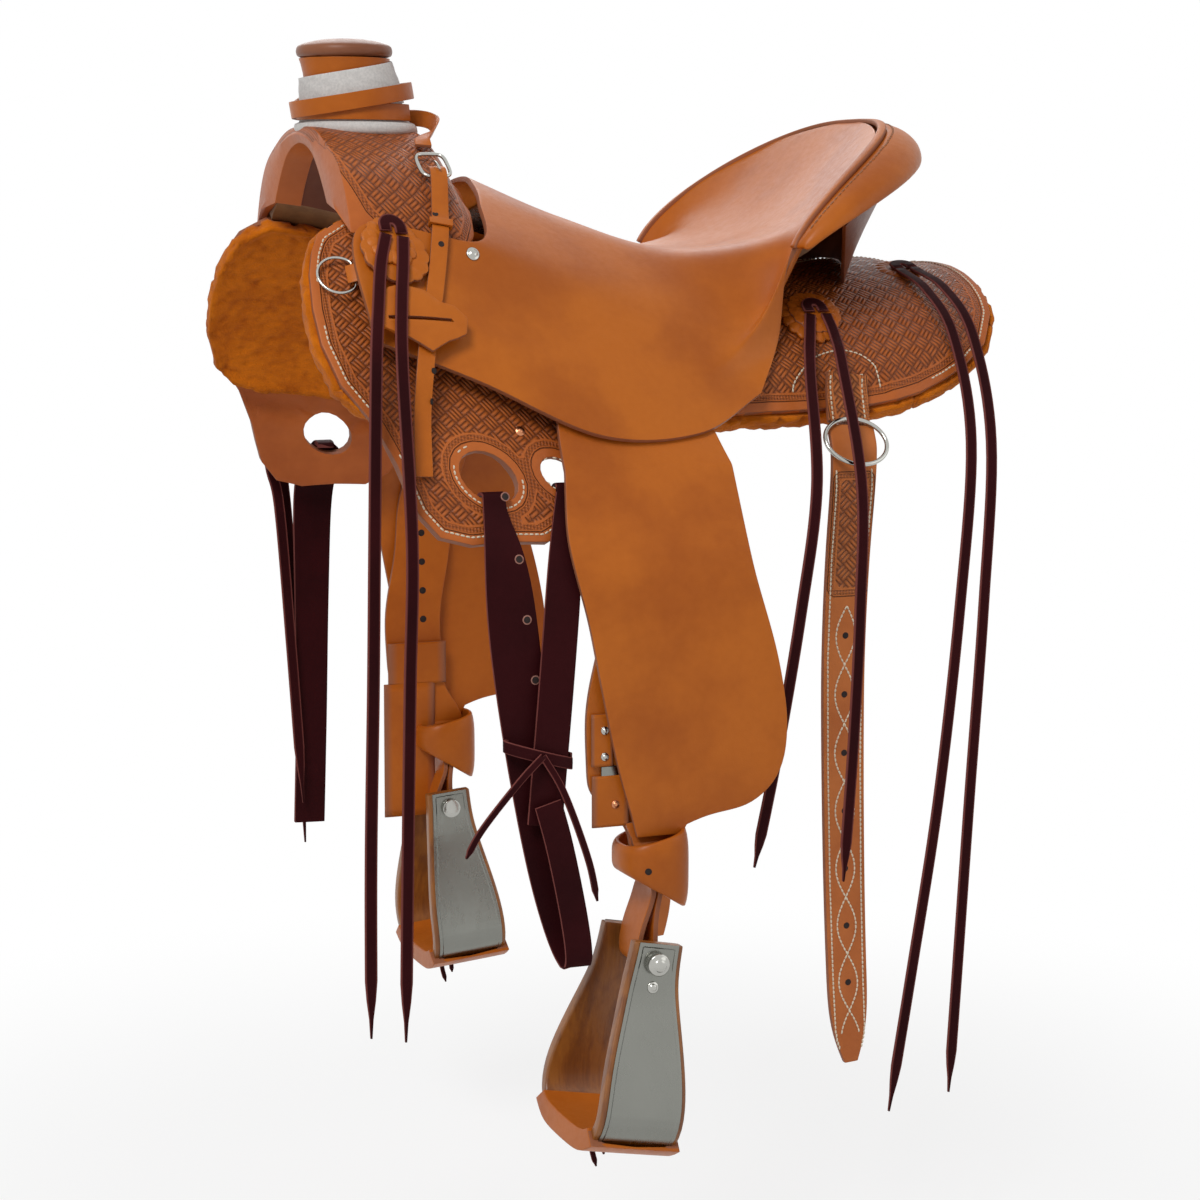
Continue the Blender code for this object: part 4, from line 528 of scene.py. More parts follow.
def dress(node, finish, bevel, levels, thin=True):
    """A node's own form with its triangles paired, its edges rounded and its faces divided."""
    bm = mark_cut_edges(merged(node))
    paired(bm)
    mesh = marked_mesh(bm, node + "_dressed", thin)
    piece = show(mesh, node + "_dressed", finish, BODY[node], SLOT[node], [node])
    if bevel:
        rounded(piece, bevel)
    if levels:
        divided(piece, levels)
    return piece


def kept(piece):
    """The piece's mesh with its modifiers worked in."""
    graph = bpy.context.evaluated_depsgraph_get()
    mesh = bpy.data.meshes.new_from_object(piece.evaluated_get(graph), preserve_all_data_layers=True,
                                           depsgraph=graph)
    piece.modifiers.clear()
    piece.data = mesh
    return mesh


print("pieces can be dressed")

# %% [markdown]
# Skirts, rosettes and fleece are sheets laid on the drape. They are subdivided while
# still flat, in x, t and h, and laid again, so they come out truly curved. Each point
# also gets its distance from the sheet's nearest cut edge, "inset", which places the
# border, the bead line and the basket panel of the tooling.

# %% Laying a sheet again, finer


def edge_pairs(bm, upward):
    """Ends of the edges where a cut edge meets the broad face that looks up, or down, in h."""
    ends = []
    for e in bm.edges:
        kinds = [f.material_index for f in e.link_faces]
        broad = [f for f in e.link_faces if f.material_index == 0]
        if len(kinds) == 2 and sum(kinds) == 1 and (broad[0].normal.z > 0) == upward:
            ends.append([list(e.verts[0].co), list(e.verts[1].co)])
    return np.array(ends)


AT_ONCE = 4000         # points measured in one array, to spare the memory


def inset_from(flat, ends):
    """Least distance in x and t from each point to the segments: the foot on each, kept within it."""
    a, b = ends[:, 0, :2], ends[:, 1, :2]
    ab = b - a
    size = np.maximum((ab ** 2).sum(1), 1e-12)
    best = np.full(len(flat), 9.0)
    for k in range(0, len(flat), AT_ONCE):
        p = flat[k:k + AT_ONCE, None, :2]
        f = np.clip(((p - a) * ab).sum(2) / size, 0, 1)
        best[k:k + AT_ONCE] = np.sqrt(((p - a - f[..., None] * ab) ** 2).sum(2)).min(1)
    return best


def relay(node, side, cuts):
    """The sheet laid again from its flat form, each edge cut into cuts + 1, and what is known of it:
    its flat points, the ends of its outer outline's edges, and which faces look outwards."""
    bm = mark_cut_edges(merged(node))
    world = np.array([v.co[:] for v in bm.verts], float)
    for v, p in zip(bm.verts, unlay(world)):
        v.co = p
    bm.normal_update()
    ends = edge_pairs(bm, side > 0)
    bmesh.ops.subdivide_edges(bm, edges=bm.edges[:], cuts=cuts, use_grid_fill=True)
    bmesh.ops.triangulate(bm, faces=[f for f in bm.faces if len(f.verts) > 4])
    bm.normal_update()
    outer = np.array([(f.normal.z > 0) == (side > 0) and f.material_index == 0 for f in bm.faces])
    mesh = marked_mesh(bm, node + "_dressed")
    flat = points_of(mesh)
    move_points(mesh, lay(*flat.T, side))
    cut_map(mesh, flat[:, :2])
    return mesh, flat, ends, outer


print("sheets can be laid again")

# %% [markdown]
# Stitches, rivets and punched holes repeat hundreds of times. Each row of them is one
# mesh: a small template is carried to every place at once, turned so that its length
# follows the seam and its top faces away from the leather.

# %% Rows of small things


def unit(v):
    """Vectors of length one: each divided by its length."""
    return v / np.maximum(np.linalg.norm(v, axis=-1, keepdims=True), 1e-12)


def circle(sides):
    """Angles of so many even steps round a circle."""
    return 2 * np.pi * np.arange(sides) / sides


def tube_faces(rings, sides):
    """Faces of a tube of rings, each point joined to the next one round and the next ring, and its ends."""
    index = np.arange(rings * sides).reshape(rings, sides)
    over = np.roll(index, -1, 1)
    quads = np.stack([index[:-1], over[:-1], over[1:], index[1:]], -1).reshape(-1, 4)
    return quads.tolist() + [index[0, ::-1].tolist(), index[-1].tolist()]


def turned_template(profile, sides):
    """Rings of a profile of (along, radius) round the first axis, with closed ends."""
    a, r = np.array(profile, float).T[:, :, None]
    angle = circle(sides)
    spots = np.stack(np.broadcast_arrays(a, r * np.cos(angle), r * np.sin(angle)), -1)
    return spots.reshape(-1, 3), tube_faces(len(profile), sides)


def scatter(name, template, faces, centres, along, up, finish, body, slot):
    """Template at each centre, its first axis along the row and its third axis up."""
    along = unit(along - up * (along * up).sum(-1, keepdims=True))
    across = np.cross(up, along)
    axes = np.stack([along, across, up], 1)
    spots = centres[:, None, :] + template @ axes
    count = len(template)
    every = [tuple(i + k * count for i in f) for k in range(len(centres)) for f in faces]
    mesh = bpy.data.meshes.new(name)
    mesh.from_pydata(spots.reshape(-1, 3).tolist(), [], every)
    mesh.validate()
    for attribute in ("rim", "inset"):
        floats(mesh, attribute, np.zeros(len(mesh.vertices)))
    cut_map(mesh, points_of(mesh)[:, [0, 2]])
    return show(mesh, name, finish, body, slot)


STITCH, THREAD = 0.0047, (0.0040, 0.0018, 0.0014)    # pitch, and a stitch's length, width and height
THREAD_LIFT = 0.00005
SPINDLE = [(-0.5, 0.25), (-0.36, 0.8), (0.0, 1.0), (0.36, 0.8), (0.5, 0.25)]


def thread_template(length, wide, high):
    """A stitch: a spindle that dips into the leather at both ends, by the square of the way out."""
    spots, faces = turned_template([(a * length, r) for a, r in SPINDLE], 6)
    spots = spots * np.array([1.0, wide / 2, high / 2])
    spots[:, 2] += high * 0.20 - high * 1.4 * (np.abs(spots[:, 0]) / length) ** 2
    return spots, faces


def run_of(path):
    """Length along a polyline from its start to each of its points."""
    return np.concatenate([[0], np.cumsum(np.linalg.norm(np.diff(path, axis=0), axis=1))])


def even(path, pitch, closed=False):
    """Points at an even pitch along a polyline, with their directions from just before to just after."""
    path = np.asarray(path, float)
    if closed:
        path = np.concatenate([path, path[:1]])
    run = run_of(path)
    count = max(2, int(run[-1] / pitch))
    at = (np.arange(count) + 0.5) * run[-1] / count
    spots = np.stack([np.interp(at, run, path[:, k]) for k in range(3)], -1)
    ahead = np.stack([np.interp(at + pitch * 0.3, run, path[:, k]) for k in range(3)], -1)
    behind = np.stack([np.interp(at - pitch * 0.3, run, path[:, k]) for k in range(3)], -1)
    return spots, unit(ahead - behind)


def settled(piece):
    """A search tree of the piece as it will be shown."""
    return BVHTree.FromObject(piece, bpy.context.evaluated_depsgraph_get())


def stitches(name, on, paths, body, slot, pitch=STITCH, finish="thread", size=THREAD):
    """Rows of stitches along paths, each set down on the nearest point of the piece."""
    tree = settled(on)
    spots, dirs = [], []
    for path, closed in paths:
        s, d = even(path, pitch, closed)
        spots.append(s)
        dirs.append(d)
    spots, dirs = np.concatenate(spots), np.concatenate(dirs)
    found = [tree.find_nearest(Vector(s)) for s in spots]
    place = np.array([f[0][:] for f in found])
    up = np.array([f[1][:] for f in found])
    template, faces = thread_template(*size)
    return scatter(name, template, faces, place + up * THREAD_LIFT, dirs, up, finish, body, slot)


print("rows of stitches can be sewn")

# %% [markdown]
# The saddle strings are the only free cords: thongs of latigo leather, folded flat over
# a rosette, with two long tails that hang. Each tail is a flat strip carried along a
# smooth route, pointed at its tip, and each fold is a half turn over its rosette. The
# routes are the model's own.

# %% Saddle strings
STRING_WIDTH, STRING_THICK = 0.0110, 0.0026
TAIL_STEPS, FOLD_STEPS = 64, 20
FOLD_ENDS = 0.006       # how far the fold's two ends run on below its turn


def spline(points, count):
    """Catmull-Rom curve: each step is a cubic between two points, steered by their neighbours."""
    p = np.asarray(points, float)
    p = np.concatenate([[2 * p[0] - p[1]], p, [2 * p[-1] - p[-2]]])
    s = np.linspace(0, len(p) - 3, count)
    k = np.minimum(s.astype(int), len(p) - 4)
    f = (s - k)[:, None]
    a, b, c, d = (p[k + i] for i in range(4))
    return 0.5 * (2 * b + (c - a) * f + (2 * a - 5 * b + 4 * c - d) * f ** 2
                  + (3 * b - a - 3 * c + d) * f ** 3)


def strip_mesh(name, path, across, widths, thick, sections=12):
    """A flat strip: a rounded oblong section carried along a path, its wide axis along across."""
    n = len(path)
    along = unit(np.gradient(path, axis=0))
    wide = np.broadcast_to(np.asarray(across, float), path.shape)
    wide = unit(wide - along * (wide * along).sum(1, keepdims=True))
    up = np.cross(along, wide)
    a = 2 * np.pi * (np.arange(sections) + 0.5) / sections
    sx = np.sign(np.cos(a)) * np.abs(np.cos(a)) ** 0.30
    sy = np.sign(np.sin(a)) * np.abs(np.sin(a)) ** 0.55
    half = np.broadcast_to(widths, (n,))[:, None, None] / 2
    spots = path[:, None] + wide[:, None] * half * sx[:, None] + up[:, None] * thick / 2 * sy[:, None]
    mesh = bpy.data.meshes.new(name)
    mesh.from_pydata(spots.reshape(-1, 3).tolist(), [], tube_faces(n, sections))
    floats(mesh, "inset", np.zeros(n * sections))
    floats(mesh, "rim", np.tile((np.abs(sx) > 0.90).astype(float), n))
    cut_map(mesh, np.stack([np.tile(sx, n) * np.repeat(half[:, 0, 0], sections),
                            np.repeat(run_of(path), sections)], -1))
    return mesh


def pointed(start, share):
    """Width along a strap, 1 and then easing down by that share from the start of its point."""
    return lambda run: 1 - share * ease((run - start) / (1 - start))


def tail(name, node, side, laid, drop):
    """One hanging tail through laid points and then free ones; its real length is printed."""
    route = np.concatenate([lay(*np.array(laid).T, side), np.array(drop) * (1, side, 1)])
    path = spline(route, TAIL_STEPS)
    length = run_of(path)[-1]
    widths = STRING_WIDTH * pointed(0.95, 0.85)(np.linspace(0, 1, TAIL_STEPS))
    mesh = strip_mesh(name, path, (1, 0, 0), widths, STRING_THICK)
    piece = show(mesh, name, "latigo", "saddle", "latigo_leather", [node])
    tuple(path[0])
    print(name, round(length, 3), "m")


def fold(name, node, side, x, t, r, h):
    """The thong's flat half turn over its rosette."""
    centre = lay(x, t, h, side)
    ahead = unit(lay(x + 0.005, t, h, side) - centre)
    down = unit(lay(x, t + 0.005, h, side) - centre)
    a = np.linspace(0, np.pi, FOLD_STEPS)[:, None]
    radial = ahead * np.cos(a) - down * np.sin(a)
    start, end = (centre + ahead * r * way + down * FOLD_ENDS for way in (1, -1))
    path = np.concatenate([[start], centre + radial * r, [end]])
    wide = np.concatenate([radial[:1], radial, radial[-1:]])
    mesh = strip_mesh(name, path, wide, STRING_WIDTH, STRING_THICK)
    show(mesh, name, "latigo", "saddle", "latigo_leather", [node])


STRINGS = {
    ("front_string_left", -1, (-0.2590, 0.163, 0.0070, 0.0565)): (
        ([(-0.2665, 0.172, 0.0562), (-0.2760, 0.200, 0.0540), (-0.2860, 0.240, 0.0554),
          (-0.2960, 0.295, 0.0500)],
         [(-0.3060, 0.270, -0.130), (-0.3110, 0.278, -0.250), (-0.3150, 0.278, -0.400),
          (-0.3160, 0.276, -0.550)]),
        ([(-0.2515, 0.172, 0.0562), (-0.2570, 0.200, 0.0550), (-0.2660, 0.240, 0.0554),
          (-0.2740, 0.295, 0.0520)],
         [(-0.2780, 0.284, -0.130), (-0.2830, 0.290, -0.250), (-0.2860, 0.288, -0.400),
          (-0.2880, 0.284, -0.554)])),
    ("front_string_right", 1, (-0.2590, 0.163, 0.0070, 0.0565)): (
        ([(-0.2665, 0.172, 0.0562), (-0.2700, 0.200, 0.0540), (-0.2720, 0.240, 0.0500),
          (-0.2680, 0.295, 0.0440)],
         [(-0.2500, 0.287, -0.110), (-0.2406, 0.286, -0.160), (-0.2316, 0.283, -0.298),
          (-0.2217, 0.280, -0.471)]),
        ([(-0.2515, 0.172, 0.0562), (-0.2530, 0.200, 0.0550), (-0.2560, 0.240, 0.0500),
          (-0.2520, 0.295, 0.0440)],
         [(-0.2350, 0.296, -0.110), (-0.2280, 0.301, -0.180), (-0.2220, 0.300, -0.298),
          (-0.2150, 0.300, -0.518)])),
    ("seat_string_left", -1, (0.1560, 0.128, 0.0070, 0.0374)): (
        ([(0.1480, 0.137, 0.0374), (0.1380, 0.160, 0.0374), (0.1240, 0.200, 0.0400)],
         [(0.1020, 0.262, -0.100), (0.0820, 0.274, -0.210), (0.0600, 0.276, -0.330),
          (0.0390, 0.274, -0.435)]),
        ([(0.1640, 0.137, 0.0374), (0.1625, 0.161, 0.0384), (0.1540, 0.200, 0.0460)],
         [(0.1440, 0.266, -0.100), (0.1360, 0.282, -0.210), (0.1290, 0.286, -0.330),
          (0.1220, 0.284, -0.453)])),
    ("back_string_left", -1, (0.2840, 0.062, 0.0070, 0.0314)): (
        ([(0.2765, 0.070, 0.0314), (0.2830, 0.110, 0.0330), (0.2870, 0.165, 0.0300)],
         [(0.2780, 0.222, -0.070), (0.2640, 0.232, -0.220), (0.2440, 0.234, -0.400),
          (0.2200, 0.233, -0.560), (0.2000, 0.230, -0.694)]),
        ([(0.2915, 0.070, 0.0314), (0.3020, 0.110, 0.0330), (0.3070, 0.165, 0.0300)],
         [(0.3000, 0.220, -0.070), (0.2900, 0.230, -0.220), (0.2780, 0.232, -0.400),
          (0.2690, 0.232, -0.560), (0.2630, 0.230, -0.683)])),
}
for (node, side, turn), (fore, aft) in STRINGS.items():
    fold(node + "_fold", node, side, *turn)
    tail(node + "_fore", node, side, *fore)
    tail(node + "_aft", node, side, *aft)

# %% [markdown]
# The plain pieces are dressed from a table: the finish, the bevel of its edges in
# millimetres and how often its faces are divided. Round wire takes no bevel, because
# its own facets would count as corners.

# %% Pieces dressed from the table
PLAIN = [
    # The tree bars take the dark leather as painted shade: like the fork and cantle they are rawhide over
    # wood, but where they show under the gullet they lie in shade.
    ("tree_fork tree_cantle", "rawhide", 0.6, 1), ("tree_bar_left tree_bar_right", "dark", 0.6, 1),
    ("ground_seat", "metal", 0.4, 0), ("gullet_liner", "dark", 0.4, 2),
    ("horn_cap", "cap", 0.0, 2), ("horn_neck", "smooth", 0.4, 1),
    ("horn_strap_loop horn_strap_tail horn_strap_keeper", "smooth", 0.5, 2),
    ("horn_strap_buckle horn_strap_tongue", "bright", 0.0, 2),
    ("front_dee_left front_dee_right flank_dee_left flank_dee_right", "bright", 0.0, 2),
    ("dee_tab_left dee_tab_right", "smooth", 0.5, 1),
    ("cheyenne_roll", "smooth", 0.0, 2), ("cantle_back", "dark", 0.8, 2),
    ("flank_strap_top_left flank_strap_top_right", "billet", 0.7, 2),
    ("flank_billet_left flank_billet_right", "billet", 0.9, 2),
    ("stirrup_leather_left stirrup_leather_right", "fender", 0.9, 2),
    ("latigo_left latigo_end_left off_billet", "latigo", 0.6, 2),
    ("stirrup_wood_left stirrup_wood_right", "wood", 1.4, 1),
    ("stirrup_binding_left stirrup_binding_right", "metal", 0.3, 1),
    ("stirrup_bolt_left stirrup_bolt_right", "bright", 0.4, 2),
    ("stirrup_tread_left stirrup_tread_right", "fender", 0.8, 1),
]
SOLID = ("rawhide", "wood", "metal", "bright", "suede")
THICK = ("horn_cap", "horn_neck", "cheyenne_roll", "gullet_liner", "fork_cover")
pieces = {}
for names, finish, bevel, levels in PLAIN:
    for node in names.split():
        thin = finish not in SOLID and node not in THICK
        pieces[node] = dress(node, finish, bevel / 1000, levels, thin=thin)
print(len(pieces), "pieces dressed")


def rimmed(piece, node):
    """Gives each point of a plate its distance from the plate's cut edge, in x and z."""
    bm = mark_cut_edges(merged(node))
    ends = [[list(v.co) for v in e.verts] for e in bm.edges
            if len(e.link_faces) == 2 and sum(f.material_index for f in e.link_faces) == 1]
    bm.clear()
    bm.from_mesh(kept(piece))
    bmesh.ops.subdivide_edges(bm, edges=bm.edges[:], cuts=3, use_grid_fill=True)
    bm.to_mesh(piece.data)
    bm.free()
    flat = points_of(piece.data)[:, [0, 2, 1]]
    floats(piece.data, "inset", inset_from(flat, np.array(ends)[:, :, [0, 2, 1]]))


for side, word in SIDES:
    rimmed(pieces[f"stirrup_binding_{word}"], f"stirrup_binding_{word}")

# %% [markdown]
# The skirts are one thickness of tooled leather with a stitched edge, two rigging holes
# and, below, the liner of the plate. The stitch row and the border both follow the cut
# edge, so the edge is chained into loops once and stepped inwards.

# %% Skirts and their seams


GRID = 50000            # points in the same fiftieth of a millimetre count as one
CLOSED_WITHIN = 0.02    # a row whose ends are this near each other is a loop
SHORTEST_ROW = 5


def key(point):
    """A point's grid cell, the same for both edges that meet there."""
    return tuple(int(round(c * GRID)) for c in point)


def chains(ends):
    """Loose segments linked end to end into rows of points, each with a note if it closes."""
    spot, near = {}, {}
    for a, b in ends:
        for p, q in ((a, b), (b, a)):
            spot[key(p)] = p
            near.setdefault(key(p), []).append(key(q))
    left, found = set(near), []
    while left:
        row = [left.pop()]
        for _ in range(2):
            while True:
                ahead = [k for k in near[row[-1]] if k in left]
                if not ahead:
                    break
                row.append(ahead[0])
                left.discard(ahead[0])
            row.reverse()
        points = np.array([spot[k] for k in row])
        if len(row) > 6:
            found.append((points, np.linalg.norm(points[0] - points[-1]) < CLOSED_WITHIN))
    return found


def within(flat, ends):
    """True inside the outline made of loose segments: a ray to one side crosses an odd number."""
    a, b = ends[:, 0, :2], ends[:, 1, :2]
    x, y = flat[:, :1], flat[:, 1:2]
    rise = np.where(b[:, 1] == a[:, 1], 1e-12, b[:, 1] - a[:, 1])
    crosses = (a[:, 1] > y) != (b[:, 1] > y)
    return (crosses & (x < a[:, 0] + (y - a[:, 1]) * (b[:, 0] - a[:, 0]) / rise)).sum(1) % 2 == 1


def stepped_in(row, closed, ends, inset, step=0.003):
    """A row along a cut edge moved into the leather, without the parts that fold back."""
    spots, _ = even(row, step, closed)
    for _ in range(2):
        spots[1:-1] = (spots[:-2] + 2 * spots[1:-1] + spots[2:]) / 4
    ahead = unit(np.roll(spots, -1, 0)[:, :2] - np.roll(spots, 1, 0)[:, :2])
    turn = np.stack([-ahead[:, 1], ahead[:, 0]], -1)
    moved = max((spots + np.pad(turn * inset * way, ((0, 0), (0, 1))) for way in (1, -1)),
                key=lambda p: within(p, ends).sum())
    gap = np.sqrt(((moved[:, None, :2] - spots[None, :, :2]) ** 2).sum(-1)).min(1)
    good = (gap > inset * 0.75) & within(moved, ends)
    if not closed:
        good[:3] = good[-3:] = False
    return unbroken(moved, good, step)


def unbroken(spots, good, step):
    """The good points as open rows, or as one closed row when all of them are good."""
    if good.all():
        return [(spots, True)]
    first = int(np.argmin(good))
    spots, good = np.roll(spots, -first, 0), np.roll(good, -first)
    rows, row = [], []
    for spot, fine in zip(spots, good):
        if not fine or (row and np.linalg.norm(spot - row[-1]) > 2.5 * step):
            rows.append(row)
            row = []
        if fine:
            row.append(spot)
    rows.append(row)
    return [(np.array(r), False) for r in rows if len(r) >= SHORTEST_ROW]


SEAM, HOLE_SEAM = 0.0062, 0.0050     # the row's distance from the skirt's edge, and from a hole's
HOLE_RUN = 0.40                      # an outline shorter than this is a hole's
for side, word in SIDES:
    mesh, flat, ends, outer = relay(f"skirt_{word}", side, 3)
    top = np.zeros(len(flat), bool)
    total = whole_numbers(mesh.polygons, "loop_total")
    top[whole_numbers(mesh.loops, "vertex_index")[np.repeat(outer, total)]] = True
    floats(mesh, "inset", np.where(top, inset_from(flat, ends), 0.0))
    skirt = show(mesh, f"skirt_{word}_dressed", "tooled", "saddle", "tooled_leather", [f"skirt_{word}"])
    pieces[f"skirt_{word}"] = skirt
    rounded(skirt, 0.0009, 40)
    rows = []
    for row, closed in chains(ends):
        inset = SEAM if run_of(row)[-1] > HOLE_RUN else HOLE_SEAM
        for path, whole in stepped_in(row, closed, ends, inset):
            rows.append((lay(*path.T, side), whole))
    stitches(f"skirt_{word}_stitches", skirt, rows, "saddle", "smooth_leather")
    print(f"skirt_{word}:", len(mesh.vertices), "points,", len(rows), "rows of stitches")

# %% [markdown]
# Fleece is a sheepskin lining: its wool stands in clumps a few millimetres across. The
# flat sheet is divided finely and pushed in and out by a cell pattern, where each point
# falls off from the nearest of a jittered grid of clump centres. Its top stays under
# the skirt, so the wool moves mostly inwards and out past the edge.

# %% Fleece


def clumps(u, v, size, seed):
    """Distance from the nearest jittered grid point, in cells, over the nine cells around.

    Each grid point is moved by the broken part of a large sine of its two numbers.
    """
    gx, gy = np.floor(u / size), np.floor(v / size)
    best = np.full(len(u), 9.0)
    for i in (-1, 0, 1):
        for j in (-1, 0, 1):
            cx, cy = gx + i, gy + j
            turn = np.sin(cx * 127.1 + cy * 311.7 + seed) * 43758.5453
            other = np.sin(cx * 269.5 + cy * 183.3 + seed * 2) * 43758.5453
            px, py = cx + (turn - np.floor(turn)), cy + (other - np.floor(other))
            best = np.minimum(best, np.hypot(u / size - px, v / size - py))
    return np.clip(best, 0.0, 1.0)


CLUMP, CURL = 0.0068, 0.0031            # sizes of the clumps and of the curls in them
CLUMP_DEEP, CURL_DEEP = 0.0022, 0.0008   # how far the wool sinks between them
CLUMP_OUT, CURL_OUT, WAVE_OUT = 0.0030, 0.0012, 0.0006    # how far it stands out past the edge
WOOL_TOP, WOOL_EDGE = 0.0112, 0.0005
for side, word in SIDES:
    mesh, flat, ends, outer = relay(f"fleece_{word}", side, 5)
    tuft = 1.0 - clumps(flat[:, 0], flat[:, 1] + flat[:, 2], CLUMP, 3.0) ** 2
    fine = 1.0 - clumps(flat[:, 0], flat[:, 1] - flat[:, 2], CURL, 7.0) ** 2
    wave = np.sin(flat[:, 0] * 160) * np.sin(flat[:, 1] * 140)
    inwards = np.where(flat[:, 2] > WOOL_TOP, 1, -1)
    edge = inset_from(flat, ends) < WOOL_EDGE
    flat[:, 2] -= inwards * CLUMP_DEEP * (1 - tuft) + CURL_DEEP * (1 - fine)
    flat[:, 2] = np.maximum(flat[:, 2], 0.0)
    move_points(mesh, lay(*flat.T, side))
    mesh.update()
    out = edge * (CLUMP_OUT * tuft + CURL_OUT * fine + WAVE_OUT * wave)
    move_points(mesh, points_of(mesh) + points_of(mesh, "normal") * out[:, None])
    # deep is 1 in the gaps between the clumps, where the wool takes its darker colour as painted shade.
    floats(mesh, "deep", np.clip(1.2 - tuft - 0.3 * fine, 0, 1))
    piece = show(mesh, f"fleece_{word}_wool", "wool", "saddle", "fleece", [f"fleece_{word}"])
    print(piece.name, len(mesh.vertices), "points")

# %% [markdown]
# The seat is one moulded hide: from the fork's back it dips, sweeps up the cantle, and
# runs down each side as a jockey. Six lines that run its length are smooth curves
# through five points each, and a second set of curves crosses them from edge to edge,
# which is how a maker's patterns carry a shape between measured stations.

# %% Seat leather
JOCKEY_H, SEAT_THICK = 0.0405, 0.0050
RIM_X, RIM_RUN, RIM_HALF, RIM_Z, RIM_RISE = 0.113, 0.149, 0.180, 0.100, 0.125


EVENED = 60             # times that the seat's normals are averaged with their neighbours
SHEET_ANGLE = 50        # a moulded sheet's own bends stay under this, its cut edges don't


def rim(v):
    """Cantle rim at v, 0 in the middle to 1 at the ear: an ellipse with its powers changed."""
    a = math.radians(88.0) * np.asarray(v, float)
    return np.stack([RIM_X + RIM_RUN * np.cos(a) ** 1.5, RIM_HALF * np.sin(a) ** 0.7,
                     RIM_Z + RIM_RISE * np.cos(a)], -1)


EAR_V = 0.60
LINES = [0.0, 0.22, 0.42, 0.60, 0.80, 1.00]
STATIONS = [
    [(-0.136, 0, 0.1715), (-0.052, 0, 0.136), (0.045, 0, 0.106), (0.150, 0, 0.122), rim(0.0)],
    [(-0.140, 0.038, 0.1660), (-0.052, 0.046, 0.132), (0.045, 0.062, 0.106),
     (0.147, 0.080, 0.126), rim(0.22 / EAR_V)],
    [(-0.151, 0.091, 0.1485), (-0.060, 0.097, 0.119), (0.030, 0.112, 0.098),
     (0.125, 0.140, 0.112), rim(0.42 / EAR_V)],
    [lay(-0.178, 0.150, 0.0495), lay(-0.085, 0.150, 0.0440), lay(0.010, 0.148, 0.0440),
     lay(0.085, 0.150, 0.0520), rim(1.0)],
    [lay(-0.286, 0.162, 0.0475), lay(-0.185, 0.228, 0.0405), lay(-0.085, 0.235, JOCKEY_H),
     lay(0.012, 0.220, JOCKEY_H), lay(0.103, 0.165, 0.0425)],
    [lay(-0.288, 0.262, 0.0365), lay(-0.200, 0.284, 0.0385), lay(-0.098, 0.303, JOCKEY_H),
     lay(-0.002, 0.274, JOCKEY_H), lay(0.070, 0.222, 0.0385)],
]


def seat_surface(rows, columns):
    """Grid of the seat's top, from splines along it and a cubic across each gap between them.

    The cubic's slope at each line is the mean of the two chords that meet there.
    """
    along = [spline(stations, rows) for stations in STATIONS]
    mirror = along[1] * (1, -1, 1)
    line = np.stack([mirror] + along + [2 * along[-1] - along[-2]])
    knot = np.array([-LINES[1]] + LINES + [2 * LINES[-1] - LINES[-2]])
    v = np.linspace(-1, 1, columns)
    w = np.abs(v)
    k = np.clip(np.searchsorted(LINES, w, side="left") - 1, 0, len(LINES) - 2)
    a, b, c, d = (line[k + i] for i in range(4))
    ta, tb, tc, td = (knot[k + i][:, None, None] for i in range(4))
    gap = tc - tb
    f = (w[:, None, None] - tb) / gap
    mb = ((c - b) / gap + (b - a) / (tb - ta)) * 0.5 * gap
    mc = ((d - c) / (td - tc) + (c - b) / gap) * 0.5 * gap
    grid = ((2 * f ** 3 - 3 * f ** 2 + 1) * b + (f ** 3 - 2 * f ** 2 + f) * mb
            + (3 * f ** 2 - 2 * f ** 3) * c + (f ** 3 - f ** 2) * mc)
    grid[..., 1] *= np.where(v < 0, -1, 1)[:, None]
    return grid.transpose(1, 0, 2)


def slab_faces(rows, columns):
    """Faces of a grid of points, of a second grid under it, and of the wall round both; the wall's count."""
    size = rows * columns
    index = np.arange(size).reshape(rows, columns)
    quad = np.stack([index[:-1, :-1], index[1:, :-1], index[1:, 1:], index[:-1, 1:]], -1).reshape(-1, 4)
    edge = np.concatenate([index[:, 0], index[-1, 1:], index[-2::-1, -1], index[0, -2:0:-1]])
    wall = np.stack([edge, edge + size, np.roll(edge, -1) + size, np.roll(edge, -1)], -1)
    return np.concatenate([quad, quad[:, ::-1] + size, wall]).tolist(), len(wall)


def slab(name, top, depth):
    """Closed sheet under a grid of points: its normals are evened out and followed down."""
    du, dv = np.gradient(top, axis=0), np.gradient(top, axis=1)
    normal = unit(np.cross(du, dv))
    for _ in range(EVENED):
        spread = np.pad(normal, ((1, 1), (1, 1), (0, 0)), "edge")
        normal = unit(2 * normal + spread[:-2, 1:-1] + spread[2:, 1:-1]
                      + spread[1:-1, :-2] + spread[1:-1, 2:])
    faces, wall = slab_faces(*top.shape[:2])
    mesh = closed_mesh(name, [top, top - normal * depth], faces)
    floats(mesh, "rim", np.arange(len(faces)) >= len(faces) - wall, "FACE")
    floats(mesh, "inset", np.zeros(len(mesh.vertices)))
    cut_map(mesh, points_of(mesh)[:, :2])
    return mesh


mesh = slab("seat_leather_dressed", seat_surface(97, 141), SEAT_THICK)
seat = show(mesh, "seat_leather_dressed", "smooth", "saddle", "smooth_leather", ["seat_leather"])
rounded(seat, 0.0011, SHEET_ANGLE)
print("seat:", len(mesh.vertices), "points")

# %% [markdown]
# Some pieces carry tooling in a panel of their own shape. They are dressed first and
# their finer mesh is kept, so that every point knows how far it lies inside the panel's
# outline. The border and the bead line then run outside that outline by themselves.

# %% Pieces with a tooled panel
def signed_inset(flat, outline):
    """Distance from the outline, positive inside it."""
    segments = np.stack([outline, np.roll(outline, -1, 0)], 1)
    away = inset_from(flat, segments)
    return np.where(within(flat, segments), away, -away)


